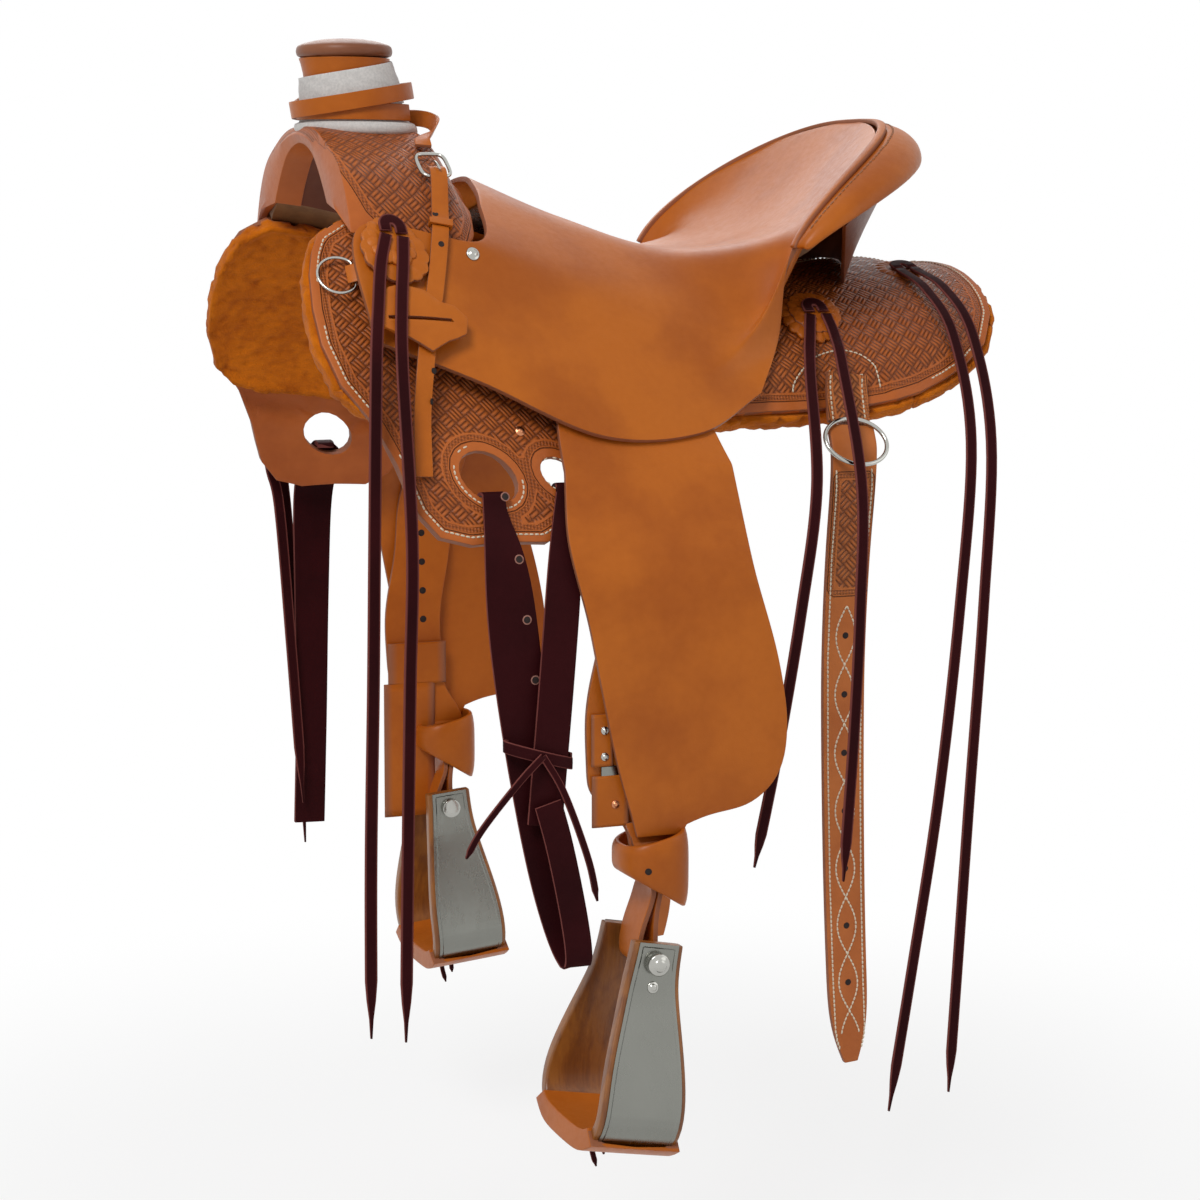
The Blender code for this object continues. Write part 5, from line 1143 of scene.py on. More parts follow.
def tooled_panel(piece, flat_of, outline, shown):
    """Give the outer points their distance in from the panel's outline, and 0 to all the others."""
    mesh = kept(piece)
    spots = points_of(mesh)
    flat = flat_of(spots)
    inset = signed_inset(flat, np.array(outline)) + PANEL_START
    outer = shown(spots, points_of(mesh, "normal"))
    floats(mesh, "inset", np.where(outer, np.clip(inset, 0, 1), 0))
    cut_map(mesh, flat[:, :2])


def fork_outer(spots, normal):
    """True on the fork's crest and flanks, but not on its lining or its underside."""
    level, up = normal[:, 1], normal[:, 2]
    return (up + np.abs(level) > 0.35) & (level * np.sign(spots[:, 1]) > -0.1) & (up > -0.2)


FORK_PANEL = [(-0.2810, -0.30), (-0.2890, 0.045), (-0.2925, 0.0713), (-0.2853, 0.1015),
              (-0.2685, 0.1386), (-0.2490, 0.1549), (-0.2292, 0.1611), (-0.2057, 0.1553),
              (-0.1907, 0.1411), (-0.1816, 0.1197), (-0.1850, 0.0972), (-0.1850, -0.30)]
fork = dress("fork_cover", "tooled", 0.0005, 2, thin=False)
tooled_panel(fork, unlay, FORK_PANEL, fork_outer)
pieces["fork_cover"] = fork

BILLET = [(-0.105, 0.1525), (-0.170, 0.1480), (-0.260, 0.1450), (-0.360, 0.1460), (-0.470, 0.1490),
          (-0.560, 0.1530), (-0.640, 0.1580)]


def billet_x(z):
    """Middle of a flank billet at height z."""
    heights, middles = np.array(BILLET)[::-1].T
    return np.interp(z, heights, middles)


BILLET_BOX = [(0.1395, -0.098), (0.1660, -0.098), (0.1610, -0.196), (0.1340, -0.196)]
STRAP_BOX = [(0.1510, 0.190), (0.1780, 0.190), (0.1740, 0.240), (0.1460, 0.240)]
for side, word in SIDES:
    tooled_panel(pieces[f"flank_billet_{word}"], lambda p: p[:, [0, 2]], BILLET_BOX,
                 lambda p, n: n[:, 1] * side > 0.5)
    tooled_panel(pieces[f"flank_strap_top_{word}"], unlay, STRAP_BOX,
                 lambda p, n: n[:, 1] * side > 0.2)
print("panels:", "fork", "billets", "strap tops")

# %% [markdown]
# Rosettes are stamped discs with a scalloped edge. They are laid again finely, and their
# height follows a rosette: petals that swell towards the edge, and a ring round the middle.

# %% Rosettes and the latigo carrier
ROSETTES = {"front_rosette": (-0.260, 0.184, 0.0300), "seat_rosette": (0.156, 0.130, 0.0255)}
PETAL_HIGH, RING_DEEP = 0.0010, 0.0007
for side, word in SIDES:
    for kind, (x, t, r) in ROSETTES.items():
        node = f"{kind}_{word}"
        mesh, flat, ends, outer = relay(node, side, 5)
        dx, dt = flat[:, 0] - x, (flat[:, 1] - t) / 0.95
        away, angle = np.hypot(dx, dt) / r, np.arctan2(dt, dx)
        middle = flat[:, 2].min() + np.ptp(flat[:, 2]) / 2
        petal = np.abs(np.cos(7 * angle)) ** 0.7 * np.exp(-((away - 0.72) / 0.20) ** 2)
        ring = np.exp(-((away - 0.40) / 0.05) ** 2)
        raised = PETAL_HIGH * (petal - 0.4) - RING_DEEP * ring
        flat[:, 2] += np.where(flat[:, 2] > middle, raised, 0.0)
        move_points(mesh, lay(*flat.T, side))
        pieces[node] = show(mesh, node + "_dressed", "smooth", "saddle", "smooth_leather", [node])
CREASE_IN, CREASE_WIDE, CREASE_DEEP = 0.0040, 0.0007, 0.0005    # the line creased along the edge
mesh, flat, ends, outer = relay("latigo_carrier", -1, 3)
inset = inset_from(flat, ends)
high = flat[:, 2] > np.median(flat[:, 2])
crease = CREASE_DEEP * np.exp(-((inset - CREASE_IN) / CREASE_WIDE) ** 2)
flat[:, 2] -= np.where(high, crease, 0.0)
move_points(mesh, lay(*flat.T, -1))
carrier = show(mesh, "latigo_carrier_dressed", "smooth", "saddle", "smooth_leather",
               ["latigo_carrier"])
rounded(carrier, 0.0006, SHEET_ANGLE)


def laid_rosette(name, x, t, r, h, side, teeth, rise=0.0038):
    """A scalloped disc on the drape: rings of points whose radius and height follow its petals."""
    rings, sides = 16, teeth * 12
    a = circle(sides)
    f = np.concatenate([np.linspace(0.04, 1, rings), [1.0]])[:, None]
    wave = np.abs(np.cos(a * teeth / 2)) ** 0.7
    away = r * f * (1 - 0.10 * (1 - wave) * f ** 4)
    petal = wave * np.exp(-((f - 0.72) / 0.18) ** 2) - 0.8 * np.exp(-((f - 0.42) / 0.05) ** 2)
    top = h + rise + PETAL_HIGH * petal - 0.0012 * f ** 8
    top[-1] = h
    spots = lay(x + away * np.cos(a), t + away * np.sin(a), top, side)
    *quads, middle, under = tube_faces(len(f), sides)
    mesh = closed_mesh(name, spots, quads + [middle[::-1], under[::-1]])
    return show(mesh, name, "smooth", "saddle", "smooth_leather")


for name, x, t, r, h, teeth in (("seat_rosette_left_lower", 0.1500, 0.1335, 0.0285, 0.0290, 17),
                                ("seat_rosette_left_upper", 0.1570, 0.1300, 0.0225, 0.0312, 15),
                                ("back_rosette_left", 0.2800, 0.0600, 0.0230, 0.0250, 15)):
    laid_rosette(name, x, t, r, h, -1, teeth)
laid_rosette("front_rosette_left_upper", -0.2620, 0.1750, 0.0230, 0.0502, -1, 13, 0.0036)
print("rosettes and carrier laid")

# %% [markdown]
# Stitches now go where the maker sewed: in an arch on each skirt, round the rear ring's
# strap, down both edges of the billets and in a chain of lens shapes round their holes,
# round the strap tops, and along the cantle, where the seat is sewn to its roll.

# %% Seams
SEW_H = 0.030                              # rows are drawn this high over the drape, then set down
BILLET_Y = 0.243                           # how far out a flank billet hangs
HOLE_FIRST, HOLE_PITCH = -0.2390, 0.0540   # height of its first hole, and the pitch of all of them
LENS_TOP = -0.2120                         # the lens shapes cross halfway between the holes
ARCH = [(0.1119, 0.2120, 0), (0.1135, 0.2030, 0), (0.1238, 0.1900, 0), (0.1402, 0.1761, 0),
        (0.1658, 0.1693, 0), (0.1847, 0.1738, 0), (0.1960, 0.1856, 0), (0.2000, 0.2020, 0),
        (0.2010, 0.2110, 0)]               # x and t of the row round the rear ring's strap


def both_rows(middle, half, place):
    """Two open rows, on either side of a middle line by its half width, put in place."""
    return [(place(middle + s * half), False) for s in (-1, 1)]


for side, word in SIDES:
    rows = []
    edges, lenses = np.linspace(-0.088, -0.628, 180), np.linspace(LENS_TOP, -0.6120, 240)
    for z, half in ((edges, 0.0178 - 0.0026 * np.clip((-edges - 0.09) / 0.5, 0, 1)),
                    (lenses, 0.0095 * np.abs(np.sin(np.pi * (lenses - LENS_TOP) / HOLE_PITCH)))):
        rows += both_rows(billet_x(z), half,
                          lambda x: np.stack([x, np.full(len(z), BILLET_Y * side), z], -1))
    stitches(f"flank_billet_{word}_stitches", pieces[f"flank_billet_{word}"], rows,
             BODY[f"flank_billet_{word}"], "tooled_leather", pitch=0.0042)
    t = np.linspace(0.192, 0.240, 24)
    rows = both_rows(np.interp(t, (0.19, 0.243), (0.1655, 0.157)), 0.0160,
                     lambda x: lay(x, t, SEW_H, side))
    stitches(f"flank_strap_top_{word}_stitches", pieces[f"flank_strap_top_{word}"], rows, "saddle",
             "tooled_leather")
    arch = spline(ARCH, 60)
    rows = [(lay(arch[:, 0], arch[:, 1], SEW_H, side), False)]
    stitches(f"skirt_{word}_arch_stitches", pieces[f"skirt_{word}"], rows, "saddle", "smooth_leather")


def along_rim(end, count, out, up):
    """The cantle rim from ear to ear, moved out level from the seat's middle, and that direction."""
    v = np.linspace(-end, end, count)
    line = rim(np.abs(v)) * np.stack([np.ones(count), np.sign(v), np.ones(count)], -1)
    outwards = unit((line - (RIM_X, 0, 0)) * (1, 1, 0))
    return line + outwards * out + (0, 0, up), outwards


line, outwards = along_rim(0.93, 200, 0.0150, 0.012)
stitches("roll_stitches", pieces["cheyenne_roll"], [(line, False)], "saddle", "smooth_leather",
         pitch=0.0066, finish="brown_thread", size=(0.0056, 0.0020, 0.0016))
WELT_WIDE, WELT_HIGH = 0.0085, 0.0052
line, outwards = along_rim(0.985, 160, 0.0030, 0.0002)
mesh = strip_mesh("seat_welt", line, outwards, WELT_WIDE, WELT_HIGH)
show(mesh, "seat_welt", "smooth", "saddle", "smooth_leather")
print("seams sewn")

# %% [markdown]
# Small fittings are copper rivets, the screws that hold the seat, and the punched holes
# of the straps. Each could be cut into the leather, but a turned profile set square to
# the leather's surface looks the same and leaves the sheet whole. A punched hole is a
# near-black disc, painted shade for the dark inside of a hole.

# %% Rivets, screws and holes
RIVET = [(-0.0010, 0.0046), (0.0005, 0.0046), (0.0010, 0.0042), (0.0012, 0.0026), (0.0020, 0.0023),
         (0.0024, 0.0014), (0.0025, 0.0002)]
SCREW = [(-0.0010, 0.0062), (0.0007, 0.0062), (0.0013, 0.0054), (0.0012, 0.0040), (0.0024, 0.0034),
         (0.0030, 0.0018), (0.0031, 0.0002)]
# A punched hole is a thin disc; its dark finish is painted shade.
PUNCHED = [(-0.0006, 0.0030), (0.00010, 0.0030), (0.00012, 0.0027), (0.00005, 0.0004)]


RAY_FROM = 0.06      # a spot is looked for along a level ray from this far outside it


def studs(name, on, spots, side, profile, finish, body, slot, scale=1.0, sides=20, lift=0.0):
    """A turned profile on the piece's surface at each spot, its axis along the surface's normal."""
    tree = settled(on)
    spots = np.asarray(spots, float)
    place, up = [], []
    for spot in spots:
        hit = tree.ray_cast(Vector(spot) + Vector((0, RAY_FROM * side, 0)), Vector((0, -side, 0)))
        hit = hit if hit[0] is not None else tree.find_nearest(Vector(spot))
        normal = hit[1] if hit[1].y * side >= 0 else -hit[1]
        place.append((hit[0] + normal * lift)[:])
        up.append(normal[:])
    place, up = np.array(place), unit(np.array(up))
    template, faces = turned_template([(a * scale, r * scale) for a, r in profile], sides)
    across = unit(np.cross(up, np.broadcast_to((0.0, 0.0, 1.0), up.shape)))
    return scatter(name, template, [f[::-1] for f in faces], place, up, across, finish, body, slot)


def laid_points(spots, side, h):
    """Points given by their x and t, at one height over the drape."""
    return lay(*np.array(spots).T, h, side)


for side, word in SIDES:
    studs(f"plate_rivet_{word}", pieces[f"skirt_{word}"],
          laid_points([(-0.1650, 0.3160)], side, SEW_H), side, RIVET, "copper", "saddle",
          "plated_metal")
    studs(f"seat_screw_{word}", seat, laid_points([(-0.1863, 0.1738)], side, 2 * SEW_H), side,
          SCREW, "bright", "saddle", "plated_metal")
    # The billet's holes are dark discs of painted shade.
    holes = [(billet_x(z), BILLET_Y * side, z) for z in HOLE_FIRST - HOLE_PITCH * np.arange(7)]
    studs(f"flank_billet_{word}_holes", pieces[f"flank_billet_{word}"], holes, side, PUNCHED, "hole",
          BODY[f"flank_billet_{word}"], "tooled_leather")
print("fittings set")

# %% [markdown]
# The fender is one piece of leather that runs up under the seat. The model hinges it in
# two parts, so the dressed fender joins the two meshes: the facing ends are taken off,
# the two open rims are bridged, and the sheet, which hangs over the bar, is put in the
# scene as one piece, on neither the saddle nor the swinging leathers.

# %% Fenders joined over the bar
HINGE = (-0.0603, 0.25963, -0.07699)
HINGE_HALF = 0.0019     # faces this near the hinge line, and square to it, are the facing ends
RIM_SPLIT = 0.2576      # their outer rim lies further out than this, the inner rim nearer
BEND_ENDS = ((-0.0070, 0.0150), (0.0075, -0.0150))    # where the bend starts and ends, as y and z


def zipped(bm, one, other):
    """Triangles between two rows of points, each sorted by x, taking the nearer next point each time."""
    i = j = 0
    while i < len(one) - 1 or j < len(other) - 1:
        if j == len(other) - 1 or (i < len(one) - 1 and one[i + 1].co.x <= other[j + 1].co.x):
            bm.faces.new((one[i], one[i + 1], other[j]))
            i += 1
        else:
            bm.faces.new((one[i], other[j + 1], other[j]))
            j += 1


def fender_sheet(word):
    """Hanger and fender as one closed mesh: the two facing ends come off and their rims are zipped."""
    whole, rims = bmesh.new(), []
    for node in (f"leather_hanger_{word}", f"fender_{word}"):
        part = merged(node)
        ends = [f for f in part.faces if abs(f.calc_center_median().z - HINGE[2]) < HINGE_HALF
                and abs(f.normal.z) > 0.8]
        bmesh.ops.delete(part, geom=ends, context="FACES")
        part.verts.index_update()
        start = len(whole.verts)
        rim_spots = [(abs(v.co.y) > RIM_SPLIT, v.co.x, start + v.index) for v in part.verts
                     if any(e.is_boundary for e in v.link_edges)]
        held = bpy.data.meshes.new("half")
        part.to_mesh(held)
        part.free()
        whole.from_mesh(held)
        bpy.data.meshes.remove(held)
        rims.append(rim_spots)
    whole.verts.ensure_lookup_table()
    (inner_a, outer_a), (inner_b, outer_b) = (
        [[whole.verts[k] for far, _, k in sorted(spots) if far == wanted] for wanted in (False, True)]
        for spots in rims)
    zipped(whole, inner_a, inner_b)
    zipped(whole, outer_a, outer_b)
    for k in (0, -1):
        whole.faces.new((inner_a[k], outer_a[k], outer_b[k], inner_b[k]))
    bmesh.ops.holes_fill(whole, edges=[e for e in whole.edges if e.is_boundary], sides=0)
    print(f"fender_{word}: open edges left", sum(e.is_boundary for e in whole.edges))
    bmesh.ops.recalc_face_normals(whole, faces=whole.faces)
    mark_cut_edges(whole)
    paired(whole)
    return marked_mesh(whole, f"fender_{word}_sheet")


def worked(mesh, bevel, levels):
    """The mesh with its corners rounded and its faces divided, for a piece that must be final."""
    held = bpy.data.objects.new("held", mesh)
    bpy.context.scene.collection.objects.link(held)
    rounded(held, bevel)
    divided(held, levels)
    bpy.context.view_layer.update()
    mesh = kept(held)
    bpy.data.objects.remove(held)
    return mesh


for side, word in SIDES:
    mesh = worked(fender_sheet(word), 0.0010, 2)
    ends = [(HINGE[0], side * (HINGE[1] + y), HINGE[2] + z) for y, z in BEND_ENDS]
    sheet = show(mesh, f"fender_{word}_sheet", "fender", ("saddle", f"leathers_{word}", *ends),
                 "smooth_leather", [f"fender_{word}", f"leather_hanger_{word}"])
    pieces[f"fender_{word}"] = sheet
    print(sheet.name, len(mesh.vertices), "points")

# %% [markdown]
# The suede round the horn is one long strip, wound upwards. Each turn laps over the one
# below like a shingle: the lower edge of the strip stands out by more than its own
# thickness for each turn that it covers.

# %% Suede wrap on the horn
WRAP_WIDTH, WRAP_THICK, WRAP_PITCH, WRAP_TURNS = 0.0240, 0.0017, 0.0105, 2.75
WRAP_SLOPE = WRAP_THICK * WRAP_WIDTH / WRAP_PITCH + 0.0004
WRAP_LOW, WRAP_TILT, WRAP_RADIUS = 0.2295, 0.0065, 0.0418
WRAP_START, WRAP_SWELL = math.radians(150), 0.0002
HORN_FOOT, HORN_LEAN, HORN_LOW = -0.2370, -0.19, 0.2115    # the foot's x, the lean and the foot's z


def horn_wrap_mesh(count=420, ribs=9):
    """A strip on a screw line round the leaning neck, with a second layer inside it.

    Height climbs by the pitch each turn and tilts by a cosine, and the radius falls from
    the strip's lower edge to its upper one, so that each turn laps over the one below.
    """
    turn = np.linspace(0, WRAP_TURNS, count)[:, None]
    angle = 2 * np.pi * turn + WRAP_START
    up = np.linspace(-0.5, 0.5, ribs)[None] * WRAP_WIDTH
    z = WRAP_LOW + WRAP_PITCH * turn + WRAP_TILT * np.cos(angle) * turn / WRAP_TURNS + up
    slope = WRAP_SLOPE * (0.5 - up / WRAP_WIDTH)
    swell = WRAP_SWELL * np.sin(angle * 9 + up * 500)
    layers = []
    for out in (WRAP_THICK, 0.0):
        r = WRAP_RADIUS + slope + out + (swell if out else 0)
        x = HORN_FOOT + HORN_LEAN * (z - HORN_LOW) + r * np.cos(angle)
        layers.append(np.stack(np.broadcast_arrays(x, r * np.sin(angle), z), -1))
    return closed_mesh("horn_wrap_wound", layers, slab_faces(count, ribs)[0])


def hoop_faces(rows, sides):
    """Faces of rings of points that close both ways, round the hoop and round its section."""
    index = np.arange(rows * sides).reshape(rows, sides)
    ahead = np.roll(index, -1, 0)
    faces = np.stack([index, np.roll(index, -1, 1), np.roll(ahead, -1, 1), ahead], -1)
    return faces.reshape(-1, 4).tolist()


def collar(name, profile, sides=72):
    """A closed ring of suede: a loop of (radius, height) turned about the leaning neck."""
    angle = circle(sides)
    r, z = np.array(profile).T[:, :, None]
    x = HORN_FOOT + HORN_LEAN * (z - z.min()) + r * np.cos(angle)
    spots = np.stack(np.broadcast_arrays(x, r * np.sin(angle), z), -1)
    return show(closed_mesh(name, spots, hoop_faces(len(profile), sides)), name, "suede", "saddle",
                "mulehide")


COLLAR = [(0.0425, 0.2080), (0.0540, 0.2080), (0.0556, 0.2110), (0.0556, 0.2150), (0.0540, 0.2180),
          (0.0500, 0.2195), (0.0480, 0.2240), (0.0425, 0.2300)]
collar("horn_wrap_collar", COLLAR)
wrap = show(horn_wrap_mesh(), "horn_wrap_wound", "suede", "saddle", "mulehide", ["horn_wrap"])
rounded(wrap, 0.0004, SHEET_ANGLE)
print("horn wrapped in", WRAP_TURNS, "turns")

# %% [markdown]
# Below the fenders the stirrup leathers are buckled and laced. Plates and straps are
# rounded bands laid just outside the leather they hold, and they ride with it.

# %% Buckles, ties and laces below


BAND_STEPS, THONG_THICK = 24, 0.0022
LEATHERS_OUT = 0.285      # how far out the leathers lie where no ray finds them


def thong(name, path, side, width, start, body):
    """A thong through a few points of the near or off side, drawn to a point from start on."""
    line = spline(np.array(path) * (1, side, 1), BAND_STEPS)
    widths = width * pointed(start, 0.7)(np.linspace(0, 1, BAND_STEPS))
    mesh = strip_mesh(name, line, (1, 0, 0), widths, THONG_THICK)
    return show(mesh, name, "latigo", body, "latigo_leather")


def face_of(side, word, x, z, inner):
    """How far out the leathers' outer or inner face lies at x and z."""
    start, way = (0.1 * side, side) if inner else (0.6 * side, -side)
    hits = [settled(pieces[n]).ray_cast(Vector((x, start, z)), Vector((0, way, 0)))
            for n in (f"fender_{word}", f"stirrup_leather_{word}")]
    ys = [abs(h[0].y) for h in hits if h[0] is not None]
    return (min(ys) if inner else max(ys)) if ys else LEATHERS_OUT


HOBBLE_X, HOBBLE_Y, HOBBLE_HALF, HOBBLE_THICK = -0.0660, 0.2860, 0.0285, 0.0034
HOBBLE_TOP = ((-0.0945, -0.3985), (-0.0375, -0.3860))     # x and z of its upper edge, front and back
HOBBLE_FOOT = ((-0.0945, -0.4230), (-0.0375, -0.4570))


def squared(wave, power=0.8):
    """A sine or cosine with its power lowered, which fills a circle out towards a square."""
    return np.sign(wave) * np.abs(wave) ** power


def hobble(word, side, sides=96, ribs=13):
    """A strap round the leathers: an oval ring whose depth grows from its narrow end to its wide end."""
    a = circle(sides)
    x = HOBBLE_X + HOBBLE_HALF * squared(np.cos(a))
    low = np.interp(x, *np.array(HOBBLE_FOOT).T)
    high = np.interp(x, *np.array(HOBBLE_TOP).T)
    f = np.linspace(0, 1, ribs)[:, None]
    swell = 1 - 0.10 * (2 * f - 1) ** 4
    layers = []
    for out in (HOBBLE_THICK, 0.0):
        reach = HOBBLE_HALF * swell + out
        layers.append(np.stack(np.broadcast_arrays(
            HOBBLE_X + reach * squared(np.cos(a)), (HOBBLE_Y + reach * squared(np.sin(a))) * side,
            low + (high - low) * f), -1))
    hoop = closed_mesh(f"hobble_{word}", [layers[0], layers[1][::-1]], hoop_faces(2 * ribs, sides))
    made = show(hoop, f"hobble_{word}", "smooth", f"leathers_{word}", "smooth_leather",
                [f"hobble_strap_{word}"])
    rounded(made, 0.0010, SHEET_ANGLE)
    return made


for side, word in SIDES:
    pieces[f"hobble_strap_{word}"] = hobble(word, side)


COIL_HALF, COIL_DEEP, COIL_CLIMB, COIL_SLANT = 0.0300, 0.0105, 0.0080, 0.28


def tie(name, centre, ends, side, body):
    """A thong tied round the straps: a coil of two oval turns that slants, and its two loose ends."""
    x, y, z = centre
    a = np.linspace(0, 4 * np.pi, 60)
    climb = COIL_CLIMB * (a / (4 * np.pi) - 0.5)
    coil = np.stack([x + COIL_HALF * np.cos(a), side * (y + COIL_DEEP * np.sin(a)),
                     z + climb - COIL_SLANT * COIL_HALF * np.cos(a)], -1)
    mesh = strip_mesh(name + "_coil", coil, (0, 0, 1), 0.0065, THONG_THICK)
    show(mesh, name + "_coil", "latigo", body, "latigo_leather")
    for k, end in enumerate(ends):
        away, down = end[0] - x, end[2] - z
        path = [(x, y + 0.0125, z), (x + away * 0.35, y + 0.0160, z + down * 0.25),
                (x + away * 0.8, y + 0.0120, z + down * 0.7), end]
        thong(f"{name}_end_{k + 1}", path, side, 0.0062, 0.9, body)


def laid_band(name, side, word, start, end, width, lift, finish, slot="smooth_leather", thick=0.0030,
              inner=False):
    """A flat band on the outer or inner face of the leathers, straight from one x, z to another."""
    line = np.linspace(start, end, 16)
    far = [face_of(side, word, x, z, inner) for x, z in line]
    y = min(far) - lift if inner else max(far) + lift
    spots = np.stack([line[:, 0], np.full(len(line), side * y), line[:, 1]], -1)
    mesh = strip_mesh(name, spots, (1, 0, 0.02), width, thick)
    return show(mesh, name, finish, f"leathers_{word}", slot)


def column(x, y, top, pitch, count):
    """Spots one below the other."""
    return [(x, y, top - pitch * k) for k in range(count)]


near, off = SIDES
plate = laid_band("near_buckle_plate", *near, (-0.1145, -0.2823), (-0.1145, -0.3275), 0.0195, 0.0022,
                  "smooth")
laid_band("near_buckle_catch", *near, (-0.1065, -0.3280), (-0.1065, -0.3400), 0.0165, 0.0018, "metal",
          "plated_metal", 0.0020)
lower = laid_band("near_lower_leather", *near, (-0.1062, -0.3362), (-0.1062, -0.3810), 0.0340, 0.0018,
                  "smooth")
studs("near_buckle_rivets", plate, column(-0.1125, -0.300, -0.2963, 0.0227, 2), -1, RIVET, "bright",
      "leathers_left", "plated_metal", 0.8)
studs("near_lower_rivet", lower, [(-0.1021, -0.300, -0.3616)], -1, RIVET, "copper", "leathers_left",
      "plated_metal", 0.8)
laid_band("off_sleeve", *off, (-0.0955, -0.3100), (-0.0955, -0.3540), 0.0640, 0.0022, "smooth",
          inner=True)
lap = laid_band("off_lower_strap", *off, (-0.1043, -0.3530), (-0.1050, -0.4950), 0.0560, 0.0020,
                "fender", inner=True)
# The holes below are dark discs of painted shade.
for name, on, spots in (("off_leather_holes", pieces["stirrup_leather_right"],
                         column(-0.0866, 0.20, -0.1954, 0.0303, 4)),
                        ("off_strap_holes", lap, column(-0.1041, 0.20, -0.3744, 0.0307, 4))):
    studs(name, on, spots, -1, PUNCHED, "hole", "leathers_right", "smooth_leather", 1.2)
print("leathers buckled")

# %% [markdown]
# Each stirrup hangs on a bolt whose head stands off its side plate, with a second screw
# below, and its tread is laced underneath. The near latigo is looped up and tied, and
# its holes show a pale cut edge round a dark middle of painted shade, so each is two discs.

# %% Stirrup screws, laces and the tied latigo
HOBBLE_HOLE_X = {"left": -0.0800, "right": -0.0780}
LACE = {"left": (-0.1135, 0.2800, -0.6480), "right": (-0.0671, 0.2800, -0.6400)}
for side, word in SIDES:
    # The hobble strap's hole is a dark disc of painted shade.
    studs(f"hobble_hole_{word}", pieces[f"hobble_strap_{word}"],
          [(HOBBLE_HOLE_X[word], 0.30 * side, -0.4180)], side, PUNCHED, "hole", f"leathers_{word}",
          "smooth_leather")
    bolt = pieces[f"stirrup_bolt_{word}"]
    spot = np.mean([points_of(bolt.data).min(0), points_of(bolt.data).max(0)], 0)
    for name, on, place, scale, sides in (
            (f"stirrup_screw_{word}", pieces[f"stirrup_binding_{word}"],
             spot + (-0.0040, 0, -0.0205), 0.85, 20),
            (f"stirrup_bolt_dome_{word}", bolt, spot, 1.6, 32)):
        studs(name, on, [place], side, SCREW, "bright", f"stirrup_{word}", "plated_metal", scale, sides)
    x, y, z = LACE[word]
    for k, (dx, drop) in enumerate(((-0.0036, 0.0400), (0.0036, 0.0300))):
        path = [(x + dx, y, z), (x + dx * 1.4, y, z - drop * 0.5), (x + dx + 0.003, y, z - drop)]
        thong(f"stirrup_lace_{word}_{k + 1}", path, side, 0.0048, 0.85, f"stirrup_{word}")
tie("near_tie", (-0.1743, 0.3000, -0.3111),
    [(-0.2414, 0.3080, -0.3938), (-0.1238, 0.3080, -0.4412)], -1, "near_latigo")
LATIGO_HOLES = [(-0.1905, -0.32, -0.0963), (-0.1864, -0.32, -0.1468), (-0.1813, -0.32, -0.1976),
                (-0.1743, -0.32, -0.2491)]
# The latigo holes: a pale cut edge, and a dark middle of painted shade.
for name, finish, scale, lift in (("near_latigo_hole_edges", "cut", 1.35, 0.0),
                                  ("near_latigo_holes", "hole", 1.0, 0.0002)):
    studs(name, pieces["latigo_left"], LATIGO_HOLES, -1, PUNCHED, finish, "near_latigo",
          "latigo_leather", scale, lift=lift)
# The horn strap's holes are dark discs of painted shade.
STRAP_HOLES = [(-0.2150, 0.150), (-0.2165, 0.180), (-0.2180, 0.290), (-0.2195, 0.320)]
studs("horn_strap_holes", pieces["horn_strap_tail"], laid_points(STRAP_HOLES, -1, 0.07), -1, PUNCHED,
      "hole", "saddle", "smooth_leather", 0.9)
print("stirrups screwed and laced, latigo tied")

# %% [markdown]
# Last come a plain pale floor and soft lamps. A floor this pale would still show a horizon,
# so from the saddle outwards it fades into plain white, and the world is white to the
# camera and dimmer as a light.

# %% Floor and light
FLOOR_Z, FLOOR_HALF, WORLD_LIGHT = -0.86, 9.0, 0.30
corners = [(x * FLOOR_HALF, y * FLOOR_HALF, FLOOR_Z) for x, y in ((-1, -1), (1, -1), (1, 1), (-1, 1))]
floor = bpy.data.meshes.new("floor")
floor.from_pydata(corners, [], [(0, 1, 2, 3)])
ground = bpy.data.objects.new("floor", floor)
bpy.context.scene.collection.objects.link(ground)


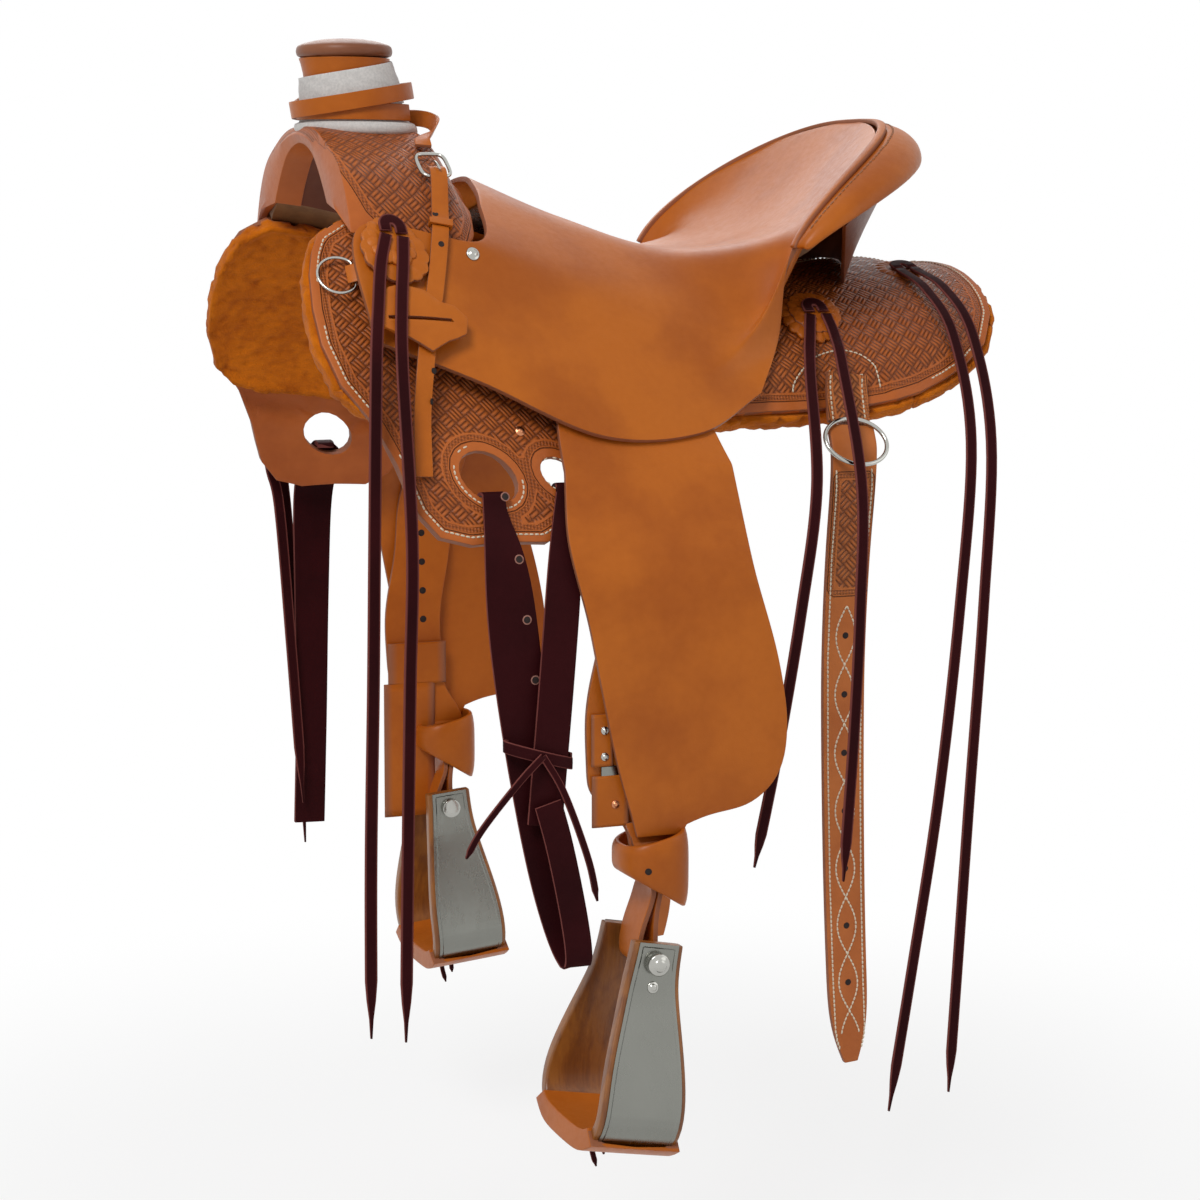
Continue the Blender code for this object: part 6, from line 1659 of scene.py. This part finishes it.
def pale(tree):
    """1 for what the camera and clear or glossy rays see, 0 for the light that falls on things."""
    path = tree.nodes.new("ShaderNodeLightPath")
    seen = tree.nodes.new("ShaderNodeMath")
    seen.operation, seen.use_clamp = "ADD", True
    tree.links.new(path.outputs["Is Camera Ray"], seen.inputs[0])
    tree.links.new(path.outputs["Is Transmission Ray"], seen.inputs[1])
    both = tree.nodes.new("ShaderNodeMath")
    both.operation, both.use_clamp = "ADD", True
    tree.links.new(seen.outputs[0], both.inputs[0])
    tree.links.new(path.outputs["Is Glossy Ray"], both.inputs[1])
    return both.outputs[0]


FLOOR_SHOWN, FADE_START, FADE_END = 0.80, 0.45, 1.30
paint = Look("pale_floor", Base_Color=(0.82, 0.82, 0.82, 1), Roughness=0.9)
away = paint.node("ShaderNodeVectorMath", {"operation": "LENGTH"},
                  {0: paint.node("ShaderNodeMapping", None, {0: paint.place(), "Scale": (1, 1, 0)})}, out=1)
glow = paint.node("ShaderNodeEmission", None, {"Strength": 1.0})
white = Wire(paint, pale(paint.tree)) * away.step(FADE_START, FADE_END, FLOOR_SHOWN, 1.0)
choice = paint.node("ShaderNodeMixShader", None, {0: white, 1: Wire(paint, paint.shader.outputs[0]), 2: glow})
paint.tree.links.new(choice.socket, paint.tree.nodes["Material Output"].inputs[0])
floor.materials.append(paint.material)
world = bpy.data.worlds.new("studio")
world.use_nodes = True
bpy.context.scene.world = world
tree = world.node_tree
back = tree.nodes["Background"]
back.inputs["Color"].default_value = (1, 1, 1, 1)
mixed = tree.nodes.new("ShaderNodeMapRange")
tree.links.new(pale(tree), mixed.inputs["Value"])
mixed.inputs["To Min"].default_value = WORLD_LIGHT
mixed.inputs["To Max"].default_value = 1.0
tree.links.new(mixed.outputs[0], back.inputs["Strength"])


def lamp(name, place, size, power):
    """A square lamp turned to face the middle of the saddle."""
    light = bpy.data.lights.new(name, "AREA")
    light.size, light.energy = size, power
    made = bpy.data.objects.new(name, light)
    bpy.context.scene.collection.objects.link(made)
    made.location = place
    made.rotation_euler = (Vector((0, 0, -0.15)) - made.location).to_track_quat("-Z", "Y").to_euler()


lamp("key", (-2.0, -2.2, 2.6), 1.3, 78)
lamp("fill", (2.6, -2.0, 1.0), 2.0, 10)
lamp("rim", (0.4, 2.8, 1.8), 2.0, 22)
bpy.context.scene.view_settings.view_transform = "Standard"
